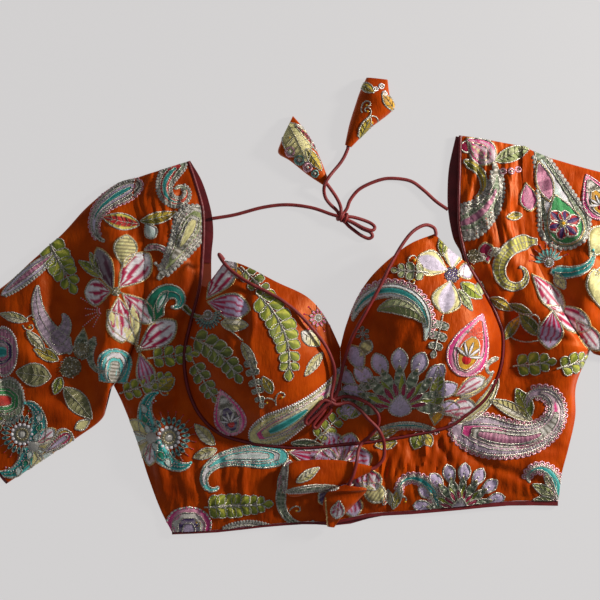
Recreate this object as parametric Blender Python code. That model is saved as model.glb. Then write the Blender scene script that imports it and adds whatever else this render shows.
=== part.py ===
"""Short padded-cup choli blouse, laid flat on its back with the front up.

Tables are in millimetres. +X is to the viewer's right, +Y is towards the neck and +Z is up; the
underside lies on z = 0. Every piece of cloth is a shell with a worked-out upper and lower face.
"""

import math

import bmesh
import bpy
from mathutils import Vector
from mathutils.bvhtree import BVHTree

MM = 0.001

# Cloth and seams
CLOTH = 1.2  # silk and its lining
PAD = 3.0  # padded cup wall
GAP = 0.3  # between neighbours, at every seam
PIPING_RADIUS = 1.5
CUFF_PIPING = 2.5
FACING_WIDTH = 12.0
FACING_THICKNESS = 1.0
BACK_TOP = CLOTH
FOLD_HEIGHT = 3.0  # two layers where a sleeve is folded flat

# Mesh density
RAIL_STEPS = 2  # points to each interval of the body's tables
PANEL_STRIPS = 6
BACK_STRIPS = 4
CUP_ROWS = 14
CUP_COLUMNS = 8
NECKLINE_SHARE = 5  # ninths of a cup's rows that end on its neckline, the rest on the centre seam
SLEEVE_RINGS = 10
TASSEL_COLUMNS = 6

# Cords
CORD_RADIUS = 1.7
CORD_STEPS = 2  # points to each interval of a route
CORD_FEELERS = 4  # places between two points where the surface below is felt
SAG_PASSES = 12  # how far a cord bridges the hollows under it
KNOT_SIDES = 16

# Front panel: a section for each row, from the armhole, side or hem in to the neck or cup seam.
# outer x, outer y, outer z, inner x, inner y, inner z, hump
FRONT_SECTIONS = [
    (-208.5, 152.0, 3.0, -157.5, 168.0, 5.0, 2.0),  # left shoulder
    (-210.0, 127.0, 9.0, -150.0, 146.0, 6.5, 4.0),
    (-201.0, 100.0, 11.5, -143.5, 122.0, 8.0, 5.0),
    (-199.0, 73.0, 12.0, -142.5, 99.0, 9.0, 6.0),
    (-199.0, 45.0, 12.0, -143.5, 75.0, 9.5, 7.0),
    (-202.0, 15.0, 11.0, -146.0, 48.0, 10.0, 8.0),  # left cup's outer top
    (-211.5, -14.5, 9.0, -154.5, 14.0, 9.0, 9.0),
    (-221.5, -35.5, 6.0, -160.5, -12.0, 8.0, 10.0),
    (-229.9, -48.5, 2.7, -161.0, -31.0, 7.5, 10.0),  # left underarm
    (-221.0, -67.0, 2.7, -157.5, -52.0, 7.0, 10.0),
    (-208.0, -100.0, 2.7, -150.0, -71.0, 6.5, 9.0),
    (-197.5, -134.0, 2.7, -141.0, -83.5, 6.5, 8.0),
    (-185.0, -168.0, 2.7, -131.0, -92.5, 6.0, 7.0),
    (-173.5, -190.5, 2.7, -119.0, -98.5, 6.0, 6.0),  # left hem corner
    (-130.0, -188.5, 2.7, -102.0, -103.0, 6.0, 6.0),
    (-86.0, -183.5, 2.7, -86.4, -106.2, 6.0, 6.0),  # left princess seam
    (-47.0, -180.5, 2.7, -47.0, -108.9, 6.0, 6.5),
    (-18.0, -180.0, 2.7, -8.1, -105.7, 6.0, 7.0),  # centre
    (16.0, -172.8, 2.7, 23.4, -102.6, 6.0, 6.5),
    (58.0, -169.8, 2.7, 58.0, -96.8, 6.0, 6.0),
    (104.0, -165.5, 2.7, 92.1, -89.2, 6.0, 6.0),  # right princess seam
    (152.0, -160.7, 2.7, 112.0, -76.5, 6.5, 7.0),
    (200.3, -160.5, 2.7, 126.0, -65.0, 7.0, 8.0),  # right hem corner
    (203.5, -136.0, 2.7, 134.0, -54.5, 7.0, 9.0),
    (210.5, -109.0, 2.7, 140.5, -42.0, 7.5, 9.0),
    (217.0, -79.0, 2.7, 144.8, -28.0, 8.0, 10.0),
    (218.0, -48.0, 2.7, 146.5, -13.0, 8.0, 10.0),
    (231.8, -13.5, 2.7, 146.0, 2.0, 8.5, 11.0),  # right underarm
    (221.5, -2.0, 6.0, 142.5, 13.0, 9.0, 10.0),
    (208.5, 16.5, 9.0, 136.0, 28.0, 9.5, 9.0),
    (194.0, 39.0, 11.0, 125.0, 48.0, 10.0, 8.0),
    (181.0, 65.0, 12.0, 111.9, 71.0, 10.0, 7.0),  # right cup's outer top
    (168.5, 94.0, 12.0, 104.8, 101.0, 9.5, 6.0),
    (165.5, 120.0, 11.5, 103.6, 127.0, 9.0, 5.0),
    (164.7, 152.0, 9.0, 104.5, 155.0, 7.0, 4.0),
    (165.5, 183.0, 3.0, 105.6, 192.9, 5.0, 2.0),  # right shoulder
]
LEFT_UNDERARM, LEFT_HEM, RIGHT_HEM, RIGHT_UNDERARM = 8, 13, 22, 27
LEFT_CUP_TOP, LEFT_CUP_TURN, LEFT_PRINCESS, CENTRE = 5, 11, 15, 17
RIGHT_PRINCESS, RIGHT_CUP_TURN, RIGHT_CUP_TOP = 20, 24, 31

# Back neck edge, from the left shoulder down and up to the right shoulder: x, y
BACK_NECK = [
    (-156.0, 169.0), (-144.5, 149.0), (-136.0, 122.0), (-133.5, 99.0), (-135.5, 70.0),
    (-132.0, 25.0), (-110.0, -25.0), (-65.0, -57.0), (-9.0, -68.0), (45.0, -57.0),
    (84.0, -25.0), (106.0, 25.0), (108.0, 72.0), (99.0, 94.0), (94.4, 118.0),
    (93.4, 137.0), (95.0, 163.0), (101.5, 192.6),
]
FACING_ROWS = 4  # the facing shows over this many rows of the back neck, at each end

# Hem bindings: x, width at the front, width at the back
HEM_BINDING = [
    (-175.0, 2.2, 1.6),
    (-40.0, 2.4, 2.0),
    (2.0, 2.8, 6.5),
    (35.0, 3.2, 2.6),
    (202.0, 4.5, 4.0),
]

# Cups. A princess seam runs from the free edge down to the cup seam: x, y, z
LEFT_PRINCESS_SEAM = [
    (-139.7, 46.6, 15.0), (-130.0, 30.0, 30.0), (-119.0, 12.7, 40.0), (-100.0, -14.5, 48.0),
    (-90.5, -42.0, 45.0), (-88.0, -73.0, 31.0), (-86.4, -106.2, 6.0),
]
RIGHT_PRINCESS_SEAM = [
    (108.6, 71.2, 15.0), (103.0, 46.0, 33.0), (95.0, 23.0, 43.0), (89.0, -6.0, 48.0),
    (87.3, -33.0, 45.0), (89.5, -63.0, 30.0), (92.1, -89.2, 6.0),
]
# A cup's neckline runs from its top point to the V, then down the centre seam: x, y, z
LEFT_NECKLINE = [
    (-120.7, 71.8, 22.0), (-102.8, 67.0, 25.0), (-72.0, 51.0, 28.0), (-42.0, 36.0, 26.0),
    (-24.0, 14.5, 19.0), (-10.7, -12.6, 11.0),
]
RIGHT_NECKLINE = [
    (79.2, 97.3, 23.0), (53.0, 86.0, 27.0), (23.4, 61.5, 28.0), (6.0, 37.5, 25.0),
    (-5.0, 10.0, 18.0), (-10.7, -12.6, 11.0),
]
CENTRE_SEAM = [(-10.7, -12.6, 11.0), (-9.4, -58.0, 8.0), (-8.1, -105.7, 6.0)]
# A cup's free edge runs from the princess seam up to its top point: x, y, z
LEFT_FREE_EDGE = [(-139.7, 46.6, 15.0), (-131.5, 57.0, 19.0), (-120.7, 71.8, 22.0)]
RIGHT_FREE_EDGE = [(108.6, 71.2, 15.0), (93.5, 82.5, 20.0), (79.2, 97.3, 23.0)]
INNER_CUP_BULGE = 11.0
OUTER_CUP_BULGE = 10.0
# The point that each cup's wall is thickened towards
LEFT_CUP_HEART = Vector((-85.0, -20.0, -45.0))
RIGHT_CUP_HEART = Vector((70.0, -5.0, -45.0))

# Sleeves: edges from the armhole out to the cuff: x, y
LEFT_SLEEVE_TOP = [
    (-208.8, 152.3), (-230.0, 144.4), (-256.0, 123.5), (-279.5, 98.0), (-308.0, 72.8),
    (-340.5, 44.3), (-419.5, -11.0),
]
LEFT_SLEEVE_BOTTOM = [
    (-230.2, -48.3), (-237.2, -60.0), (-240.5, -80.0), (-266.0, -99.7), (-296.0, -119.0),
    (-331.6, -142.5),
]
RIGHT_SLEEVE_TOP = [
    (165.8, 183.4), (184.3, 174.2), (198.0, 169.8), (241.5, 157.7), (330.0, 136.6), (419.0, 115.5),
]
RIGHT_SLEEVE_BOTTOM = [
    (232.1, -13.8), (241.5, -20.0), (300.0, -27.0), (378.3, -36.8),
]
SLEEVE_PUFF = [12.0, 16.0, 17.0, 14.0]  # height at the armhole, then evenly spaced to the cuff

# Cord routes, each from where it leaves: x, y, and its least height where it isn't simply laid
NECK_DORI_LEFT = [
    (-134.2, 112.8), (-112.5, 116.5), (-85.4, 123.7), (-62.0, 126.2), (-38.0, 123.2), (-17.5, 116.2),
]
NECK_DORI_RIGHT = [
    (93.6, 121.4), (82.2, 129.4), (69.8, 140.7), (57.5, 149.2), (40.0, 151.8), (26.5, 149.9),
    (9.0, 142.0), (-0.5, 131.5), (-4.0, 122.8),
]
NECK_LOOP_A = [
    (0.8, 114.2), (12.1, 111.2), (20.0, 107.6), (22.8, 103.8), (19.8, 101.2), (12.1, 103.4),
    (2.2, 108.6),
]
NECK_LOOP_B = [
    (-3.6, 107.0), (2.5, 101.8), (9.9, 96.5), (16.8, 93.6), (20.6, 95.8), (18.4, 99.8),
    (11.0, 103.0), (3.4, 107.6),
]
NECK_TAIL_A = [(-10.0, 122.6), (-11.6, 128.0), (-15.4, 135.1), (-21.0, 143.2)]
NECK_TAIL_B = [
    (-14.6, 121.4), (-20.0, 126.4), (-24.6, 132.5), (-26.4, 139.5), (-25.4, 146.0),
    (-22.0, 152.0), (-17.0, 158.6), (-10.9, 166.0), (-6.4, 173.2), (-3.2, 180.6),
]
CUP_DORI_LEFT = [
    (-123.4, 74.6, 17.5), (-126.8, 78.6, 18.0), (-128.6, 80.6, 21.0), (-127.4, 78.8, 24.5),
    (-122.8, 70.4, 27.0), (-113.3, 60.7), (-97.5, 50.1),
    (-81.7, 42.2), (-66.0, 33.3), (-50.2, 20.6), (-34.4, 2.8), (-23.9, -12.0), (-17.2, -28.8),
    (-16.6, -41.0), (-19.4, -55.4),
]
CUP_DORI_RIGHT = [
    (80.2, 100.4, 21.0), (76.4, 104.4, 22.0), (69.6, 105.4, 24.0), (58.6, 99.8, 27.0),
    (48.9, 88.6, 29.0), (37.8, 70.1),
    (24.7, 44.1), (13.5, 23.7), (0.6, -0.4), (-6.8, -22.6), (-10.4, -40.0), (-14.4, -55.8),
]
CUP_LOOP_A = [
    (-25.6, -67.2), (-31.4, -73.2), (-38.2, -80.0), (-42.6, -84.6), (-44.0, -80.8), (-38.6, -73.6),
    (-32.6, -67.4), (-26.9, -62.0),
]
CUP_LOOP_B = [
    (-20.2, -72.4), (-25.6, -79.0), (-31.0, -85.4), (-34.4, -89.0), (-36.8, -86.0), (-32.6, -79.8),
    (-28.0, -74.0),
]
CUP_TAIL_B = [
    (-14.4, -60.8), (-7.0, -58.6), (1.5, -59.4), (11.0, -62.4), (19.6, -68.0), (25.6, -77.0),
    (24.8, -87.0), (18.4, -96.2), (10.8, -102.6), (6.4, -110.6), (4.4, -122.0), (1.4, -133.6),
    (-1.6, -139.6),
]
CUP_TAIL_A = [
    (-14.6, -66.0), (-3.0, -64.4), (6.6, -70.0), (15.6, -79.6), (25.2, -89.4), (30.2, -99.4),
    (31.6, -109.0), (30.2, -119.0), (23.8, -126.4),
]

# Knots: x, y, half length, half width, half height, turn in degrees
NECK_KNOT = (-8.6, 114.4, 7.2, 5.4, 4.2, -20.0)
CUP_KNOT = (-20.2, -63.4, 4.6, 4.4, 4.0, 60.0)

# Tassels: flattened cones of cloth. One edge x, y, the other edge x, y, height
NECK_TASSEL_A = [
    (-27.0, 145.0, -22.0, 150.5, 5.5),
    (-42.0, 155.0, -30.0, 171.0, 9.0),
    (-59.0, 168.5, -37.5, 186.0, 11.0),
    (-70.5, 176.0, -47.0, 201.0, 11.0),
    (-68.0, 187.0, -56.3, 212.0, 6.0),
]
NECK_TASSEL_B = [
    (-6.0, 184.4, 0.0, 181.8, 5.5),
    (-1.5, 205.0, 17.5, 199.5, 10.0),
    (4.5, 224.0, 41.0, 219.0, 12.0),
    (9.0, 237.0, 37.0, 233.0, 12.0),
    (14.8, 249.0, 35.2, 247.0, 6.0),
]
CUP_TASSEL_A = [
    (19.5, -125.5, 17.5, -131.5, 4.5),
    (-4.0, -120.5, -6.0, -142.0, 5.5),
    (-30.0, -119.0, -31.0, -149.0, 8.0),
    (-55.0, -121.0, -54.0, -155.0, 10.0),
    (-67.5, -129.0, -66.5, -151.0, 6.0),
]
CUP_TASSEL_B = [
    (-6.4, -142.6, 1.6, -144.4, 4.5),
    (-22.0, -149.0, 14.5, -147.5, 6.0),
    (-27.5, -161.0, 3.5, -161.5, 8.0),
    (-25.0, -173.0, -9.0, -174.5, 7.0),
    (-22.6, -184.5, -16.5, -185.5, 4.0),
]

MATERIALS = {  # linear red, green, blue, then roughness
    "silk": (0.50, 0.070, 0.006, 0.42),
    "maroon_trim": (0.110, 0.010, 0.011, 0.55),
    "dori": (0.120, 0.012, 0.012, 0.60),
}


def spline(rows, steps, corners=()):
    """Points on a smooth curve through rows, `steps` to an interval, with corners at the rows named."""
    stops = [0, *corners, len(rows) - 1]
    points = [Vector(rows[0])]
    for first, last in zip(stops, stops[1:]):
        run = [Vector(row) for row in rows[first : last + 1]]
        run = [2 * run[0] - run[1], *run, 2 * run[-1] - run[-2]]
        for before, start, end, after in zip(run, run[1:], run[2:], run[3:]):
            for step in range(1, steps + 1):
                t = step / steps
                bend = 2 * before - 5 * start + 4 * end - after
                twist = 3 * start - before - 3 * end + after
                points.append((2 * start + (end - before) * t + bend * t**2 + twist * t**3) / 2)
    return points


def along(points, fractions):
    """The places at these fractions of a polyline's length."""
    reach = [0.0]
    for a, b in zip(points, points[1:]):
        reach.append(reach[-1] + (b - a).length)
    places = []
    for fraction in fractions:
        target = min(max(fraction, 0.0), 1.0) * reach[-1]
        k = next((k for k in range(1, len(reach) - 1) if reach[k] >= target), len(reach) - 1)
        share = (target - reach[k - 1]) / (reach[k] - reach[k - 1])
        places.append(points[k - 1].lerp(points[k], share))
    return places


def fractions(points):
    """How far along the polyline each of its points is, from 0 to 1."""
    reach = [0.0]
    for a, b in zip(points, points[1:]):
        reach.append(reach[-1] + (b - a).length)
    return [distance / reach[-1] for distance in reach]


def evenly(points, count):
    return along(points, [k / count for k in range(count + 1)])


def shifted(points, distance):
    """The curve moved sideways in plan, to the right of its direction."""
    moved = []
    for k, point in enumerate(points):
        way = points[min(k + 1, len(points) - 1)] - points[max(k - 1, 0)]
        side = Vector((way[1], -way[0])).normalized() * distance
        moved.append(point + Vector((side[0], side[1], *[0.0] * (len(point) - 2))))
    return moved


def coons(side_a, side_b, end_a, end_b, bulge=0.0):
    """A patch between four edges. The sides run from end_a to end_b, and the ends from side_a to side_b."""
    rows, columns = len(side_a) - 1, len(end_a) - 1
    grid = []
    for i, (a, b) in enumerate(zip(side_a, side_b)):
        u = i / rows
        row = []
        for j, (start, end) in enumerate(zip(end_a, end_b)):
            v = j / columns
            corners = side_a[0].lerp(side_b[0], v).lerp(side_a[-1].lerp(side_b[-1], v), u)
            point = a.lerp(b, v) + start.lerp(end, u) - corners
            if bulge:
                point.z += bulge * math.sin(math.pi * u) * math.sin(math.pi * v)
            row.append(point)
        grid.append(row)
    return grid


def plan(point):
    return Vector((point[0], point[1]))


def at_height(point, z):
    return Vector((point[0], point[1], z))


def material(slot):
    """The Principled material of a slot, made once."""
    if slot in bpy.data.materials:
        return bpy.data.materials[slot]
    made = bpy.data.materials.new(slot)
    made.use_nodes = True
    red, green, blue, roughness = MATERIALS[slot]
    shader = made.node_tree.nodes["Principled BSDF"]
    shader.inputs["Base Color"].default_value = (red, green, blue, 1.0)
    shader.inputs["Roughness"].default_value = roughness
    made.diffuse_color = (red, green, blue, 1.0)
    return made


def placed(name, data, slot):
    data.materials.append(material(slot))
    made = bpy.data.objects.new(name, data)
    CHOLI.objects.link(made)
    return made


def shell(name, upper, lower, slot, ring=False):
    """A closed wall between two grids of points. A ring's rows close on themselves."""
    rows, columns = len(upper), len(upper[0])
    layers = bmesh.new()
    top, under = (
        [[layers.verts.new(point * MM) for point in row] for row in grid] for grid in (upper, lower)
    )
    spans = [(j, (j + 1) % columns) for j in range(columns if ring else columns - 1)]
    for i in range(rows - 1):
        for j, k in spans:
            layers.faces.new((top[i][j], top[i][k], top[i + 1][k], top[i + 1][j]))
            layers.faces.new((under[i][j], under[i + 1][j], under[i + 1][k], under[i][k]))
    for i in (0, rows - 1):
        for j, k in spans:
            layers.faces.new((top[i][j], top[i][k], under[i][k], under[i][j]))
    if not ring:
        for j in (0, columns - 1):
            for i in range(rows - 1):
                layers.faces.new((top[i][j], top[i + 1][j], under[i + 1][j], under[i][j]))
    bmesh.ops.recalc_face_normals(layers, faces=layers.faces)
    mesh = bpy.data.meshes.new(name)
    layers.to_mesh(mesh)
    layers.free()
    mesh.shade_smooth()
    mesh.set_sharp_from_angle(angle=math.radians(40))
    return placed(name, mesh, slot)


def lowered(grid, thickness):
    return [[point - Vector((0, 0, thickness)) for point in row] for row in grid]


def thickened(grid, heart, thickness):
    """The lower face of a domed wall, each point moved towards the dome's heart."""
    return [[point + (heart - point).normalized() * thickness for point in row] for row in grid]


def tube(name, points, radius, slot):
    curve = bpy.data.curves.new(name, "CURVE")
    curve.dimensions = "3D"
    curve.bevel_depth = radius * MM
    curve.bevel_resolution = 2
    curve.use_fill_caps = True
    run = curve.splines.new("POLY")
    run.points.add(len(points) - 1)
    for knot, point in zip(run.points, points):
        knot.co = (*(point * MM), 1.0)
    return placed(name, curve, slot)


class Ground:
    """The cloth and cords made so far, for what is laid on them."""

    def __init__(self):
        self.trees = []

    def add(self, *pieces):
        depsgraph = bpy.context.evaluated_depsgraph_get()
        for piece in pieces:
            mesh = piece.evaluated_get(depsgraph).to_mesh()
            corners = [vert.co.copy() for vert in mesh.vertices]
            faces = [tuple(face.vertices) for face in mesh.polygons]
            self.trees.append(BVHTree.FromPolygons(corners, faces))
            piece.evaluated_get(depsgraph).to_mesh_clear()

    def height(self, x, y, reach):
        """The highest surface within reach of a place, or the table."""
        top = 0.0
        for dx, dy in ((0, 0), (reach, 0), (-reach, 0), (0, reach), (0, -reach)):
            start = Vector(((x + dx) * MM, (y + dy) * MM, 1.0))
            for tree in self.trees:
                hit = tree.ray_cast(start, Vector((0, 0, -1)))[0]
                if hit is not None:
                    top = max(top, hit.z / MM)
        return top


def laid(route, ground, radius=CORD_RADIUS):
    """A cord's centre line, laid on what is under it, bridging the small hollows."""
    line = spline([(*row, 0.0)[:3] for row in route], CORD_STEPS * CORD_FEELERS)
    felt = [max(p.z, ground.height(p.x, p.y, radius) + radius + GAP) for p in line]
    points = line[::CORD_FEELERS]
    half = CORD_FEELERS // 2
    floor = [max(felt[max(k - half, 0) : k + half + 1]) for k in range(0, len(line), CORD_FEELERS)]
    heights = list(floor)
    for _ in range(SAG_PASSES):
        for k in range(1, len(points) - 1):
            heights[k] = max(floor[k], (heights[k - 1] + heights[k + 1]) / 2)
    return [at_height(point, z) for point, z in zip(points, heights)]


def flat_tube(name, sections, heights, base, slot, wall=CLOTH):
    """An open-ended tube lying flat. Each section runs from fold to fold, in plan."""
    across = fractions(sections[0])
    outer, inner = [], []
    for section, height, bottom in zip(sections, heights, base):
        width = sum((b - a).length for a, b in zip(section, section[1:]))
        edge = wall / width
        taken_in = [edge + (1 - 2 * edge) * v for v in across]
        arch = [FOLD_HEIGHT + (height - FOLD_HEIGHT) * math.sqrt(4 * v * (1 - v)) for v in across]
        for ring, places, lift in ((outer, across, 0.0), (inner, taken_in, wall)):
            line = along(section, places)
            upper = [at_height(p, bottom + z - lift) for p, z in zip(line, arch)]
            lower = [at_height(p, bottom + lift) for p in line]
            ring.append(upper + lower[::-1])
    return shell(name, outer, inner, slot, ring=True), outer[-1], inner[-1]


def rails():
    """The front panel's outer and inner edges, and its hump, at the same sections."""
    corners = (LEFT_UNDERARM, LEFT_HEM, RIGHT_HEM, RIGHT_UNDERARM)
    outer = spline([row[:3] for row in FRONT_SECTIONS], RAIL_STEPS, corners)
    inner = spline([row[3:6] for row in FRONT_SECTIONS], RAIL_STEPS)
    hump = [p[0] for p in spline([(row[6], 0.0) for row in FRONT_SECTIONS], RAIL_STEPS)]
    return outer, inner, hump


def stretch(rail, first, last):
    """The part of a rail between two rows of its table, in the order given."""
    low, high = sorted((first, last))
    part = rail[low * RAIL_STEPS : high * RAIL_STEPS + 1]
    return part if first <= last else part[::-1]


def front_panel(outer, inner, hump):
    edge = shifted(inner, PIPING_RADIUS + GAP)
    grid = []
    for start, end, lift in zip(outer, edge, hump):
        row = []
        for j in range(PANEL_STRIPS + 1):
            v = j / PANEL_STRIPS
            point = start.lerp(end, v)
            point.z += lift * math.sin(math.pi * v)
            row.append(point)
        grid.append(row)
    return shell("front_panel", grid, lowered(grid, CLOTH), "silk")


def back_panel(outer, neck):
    edge = evenly(neck, len(outer) - 1)
    grid = []
    for start, end in zip(outer, edge):
        row = [plan(start).lerp(end, j / BACK_STRIPS) for j in range(BACK_STRIPS + 1)]
        grid.append([at_height(point, BACK_TOP) for point in row])
    return shell("back_panel", grid, lowered(grid, CLOTH), "silk")


def facing(name, edge):
    """A strip on the back panel, along its neck edge."""
    top = BACK_TOP + GAP + FACING_THICKNESS
    rows = [edge, shifted(edge, FACING_WIDTH)]
    grid = [[at_height(point, top) for point in row] for row in zip(*rows)]
    return shell(name, grid, lowered(grid, FACING_THICKNESS), "maroon_trim")


def binding(name, hem, column, top, bottom):
    """A hem binding, made from the hem's points moved out; column picks its width."""
    near = shifted(hem, GAP)
    grid = []
    for k, point in enumerate(near):
        after = next(n for n in range(1, len(HEM_BINDING)) if HEM_BINDING[n][0] >= point[0])
        left, right = HEM_BINDING[after - 1], HEM_BINDING[after]
        share = (point[0] - left[0]) / (right[0] - left[0])
        width = left[column] + (right[column] - left[column]) * share
        far = shifted(hem, GAP + width)[k]
        grid.append([at_height(point, top), at_height(far, top)])
    return shell(name, grid, lowered(grid, top - bottom), "maroon_trim")


def seam_piping(inner):
    low = [point - Vector((0, 0, CLOTH / 2)) for point in inner]
    return tube("seam_piping", low, PIPING_RADIUS, "maroon_trim")


def cup_piece(name, edges, bulge, heart):
    """A padded piece inside four edges: a side, the facing side, and the ends between them."""
    side_a, side_b, end_a, end_b = edges
    grid = coons(side_a, side_b, evenly(end_a, CUP_COLUMNS), evenly(end_b, CUP_COLUMNS), bulge)
    return shell(name, grid, thickened(grid, heart, PAD), "silk")


def fitted(line, start, end):
    """The line with its ends brought to two places, and the rest moved in proportion."""
    last = len(line) - 1
    return [
        point + (start - line[0]) * (1 - k / last) + (end - line[-1]) * (k / last)
        for k, point in enumerate(line)
    ]


def cup(side, seam_rail, princess_rows, neckline_rows, free_rows, rows, turn, heart):
    """The inner and outer piece of one cup. turn is 1 on the left cup and -1 on the right."""
    top, corner, princess_foot = rows
    seam = shifted(seam_rail, -(PIPING_RADIUS + GAP))
    half = Vector((GAP / 2 * turn, 0, 0))
    princess = spline(princess_rows, 4)
    foot = stretch(seam, princess_foot, CENTRE)
    neck_rows = CUP_ROWS * NECKLINE_SHARE // 9
    neckline = evenly(spline(neckline_rows, 4), neck_rows)
    centre = evenly(spline(CENTRE_SEAM, 4), CUP_ROWS - neck_rows)
    edge = neckline[:-1] + [point - half for point in centre]
    edge = fitted(edge, edge[0], foot[-1] - half)
    inner_line = evenly(shifted(princess, -GAP / 2 * turn), CUP_ROWS)
    inner_line = fitted(inner_line, inner_line[0], foot[0] + half)
    free = fitted(spline(free_rows, 4), inner_line[0], edge[0])
    bottom = fitted(foot, inner_line[-1], edge[-1])
    inner = cup_piece(
        f"cup_{side}_inner", (inner_line, edge, free, bottom), INNER_CUP_BULGE, heart
    )
    flank = evenly(stretch(seam, top, corner), CUP_ROWS)
    toe = stretch(seam, corner, princess_foot)
    outer_line = evenly(shifted(princess, GAP / 2 * turn), CUP_ROWS)
    outer_line = fitted(outer_line, outer_line[0], toe[-1] - half)
    brow = [flank[0], flank[0].lerp(outer_line[0], 0.5), outer_line[0]]
    toe = fitted(toe, flank[-1], outer_line[-1])
    outer = cup_piece(f"cup_{side}_outer", (flank, outer_line, brow, toe), OUTER_CUP_BULGE, heart)
    return [inner, outer]


def sleeve(side, armhole, top_rows, bottom_rows, outward):
    """A flat-lying sleeve from the armhole to the cuff, and the piping round its cuff."""
    top = evenly(spline(top_rows, 4), SLEEVE_RINGS)
    bottom = evenly(spline(bottom_rows, 4), SLEEVE_RINGS)
    seam = shifted([plan(point) for point in armhole], outward * GAP)
    top[0], bottom[0] = seam[0], seam[-1]
    cuff = along([top[-1], bottom[-1]], fractions(seam))
    sections = coons(top, bottom, seam, cuff)
    puffs = [Vector((height, 0.0)) for height in SLEEVE_PUFF]
    heights = [p[0] for p in evenly(spline(puffs, 4), SLEEVE_RINGS)]
    base = [0.0] * len(sections)
    made, outer, inner = flat_tube(f"sleeve_{side}", sections, heights, base, "silk")
    across = (bottom[-1] - top[-1]).normalized()
    way = Vector((across[1], -across[0], 0)) * outward
    near, far = way * GAP, way * (GAP + CUFF_PIPING)
    skin = [[at_height(p, max(p.z, GAP)) + step for p in outer] for step in (near, far)]
    lining = [[point + step for point in inner] for step in (near, far)]
    piping = shell(f"cuff_piping_{side}", skin, lining, "maroon_trim", ring=True)
    return [made, piping]


def knot(name, size, ground):
    """A tight knot, as a rounded lump on what is under it."""
    x, y, length, width, height, turn = size
    lump = bmesh.new()
    bmesh.ops.create_uvsphere(lump, u_segments=KNOT_SIDES, v_segments=KNOT_SIDES // 2, radius=MM)
    bmesh.ops.scale(lump, vec=(length, width, height), verts=lump.verts)
    mesh = bpy.data.meshes.new(name)
    lump.to_mesh(mesh)
    lump.free()
    mesh.shade_smooth()
    made = placed(name, mesh, "dori")
    made.location = Vector((x, y, ground.height(x, y, width) + GAP + height)) * MM
    made.rotation_euler.z = math.radians(turn)
    bpy.context.view_layer.update()
    return made


def tassel(name, rows, ground):
    """A flattened cone of cloth, each section lying on what is under it."""
    edges = spline(rows, 2)
    sections = [evenly([Vector(row[:2]), Vector(row[2:4])], TASSEL_COLUMNS) for row in edges]
    base = [
        max(ground.height(point[0], point[1], CLOTH) for point in section) + GAP
        for section in sections
    ]
    base = [max(base[max(k - 1, 0) : k + 2]) for k in range(len(base))]
    return flat_tube(name, sections, [row[4] for row in edges], base, "silk")[0]


def main():
    outer, inner, hump = rails()
    neck = spline(BACK_NECK, 3)
    cloth = [front_panel(outer, inner, hump), back_panel(outer, neck)]
    cloth.append(facing("neck_facing_left", neck[: FACING_ROWS * 3 + 1]))
    cloth.append(facing("neck_facing_right", neck[-FACING_ROWS * 3 - 1 :]))
    hem = stretch(outer, LEFT_HEM, RIGHT_HEM)
    hem_top = hem[0].z + GAP
    cloth.append(binding("hem_binding_front", hem, 1, hem_top, BACK_TOP + GAP))
    cloth.append(binding("hem_binding_back", hem, 2, BACK_TOP, 0.0))
    cloth.append(seam_piping(inner))
    left_rows = (LEFT_CUP_TOP, LEFT_CUP_TURN, LEFT_PRINCESS)
    right_rows = (RIGHT_CUP_TOP, RIGHT_CUP_TURN, RIGHT_PRINCESS)
    cloth += cup(
        "left", inner, LEFT_PRINCESS_SEAM, LEFT_NECKLINE, LEFT_FREE_EDGE, left_rows, 1, LEFT_CUP_HEART
    )
    cloth += cup(
        "right", inner, RIGHT_PRINCESS_SEAM, RIGHT_NECKLINE, RIGHT_FREE_EDGE, right_rows, -1,
        RIGHT_CUP_HEART,
    )
    left_armhole = stretch(outer, 0, LEFT_UNDERARM)
    right_armhole = stretch(outer, len(FRONT_SECTIONS) - 1, RIGHT_UNDERARM)
    cloth += sleeve("left", left_armhole, LEFT_SLEEVE_TOP, LEFT_SLEEVE_BOTTOM, 1)
    cloth += sleeve("right", right_armhole, RIGHT_SLEEVE_TOP, RIGHT_SLEEVE_BOTTOM, -1)

    ground = Ground()
    ground.add(*cloth)
    neck_pieces = [
        ("dori_neck_left", NECK_DORI_LEFT),
        ("dori_neck_right", NECK_DORI_RIGHT),
        ("dori_neck_knot", NECK_KNOT),
        ("dori_neck_loop_a", NECK_LOOP_A),
        ("dori_neck_loop_b", NECK_LOOP_B),
        ("dori_neck_tail_b", NECK_TAIL_B),
        ("dori_neck_tail_a", NECK_TAIL_A),
    ]
    cup_pieces = [
        ("dori_cup_left", CUP_DORI_LEFT),
        ("dori_cup_right", CUP_DORI_RIGHT),
        ("dori_cup_knot", CUP_KNOT),
        ("dori_cup_loop_a", CUP_LOOP_A),
        ("dori_cup_loop_b", CUP_LOOP_B),
        ("tassel_cup_a", CUP_TASSEL_A),
        ("dori_cup_tail_b", CUP_TAIL_B),
        ("dori_cup_tail_a", CUP_TAIL_A),
        ("tassel_cup_b", CUP_TASSEL_B),
    ]
    for name, rows in neck_pieces + cup_pieces:
        if name.startswith("tassel"):
            made = tassel(name, rows, ground)
        elif name.endswith("knot"):
            made = knot(name, rows, ground)
        else:
            made = tube(name, laid(rows, ground), CORD_RADIUS, "dori")
        ground.add(made)
    tassel("tassel_neck_a", NECK_TASSEL_A, ground)
    tassel("tassel_neck_b", NECK_TASSEL_B, ground)


for old in list(bpy.data.objects):
    bpy.data.objects.remove(old)
CHOLI = bpy.data.collections.new("choli_blouse")
bpy.context.scene.collection.children.link(CHOLI)
main()
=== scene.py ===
"""The looks of the choli blouse: orange satin with figured embroidery, piping, dori cords and tassels.

Tables are in millimetres and turns in degrees. Every cloth piece is a thin closed shell on the form of
its CAD solid, with creases given in tables. The embroidery is drawn flat by the functions of the class
Embroidery, then laid on the cloth and cut at its seams.
"""

import math

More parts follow.
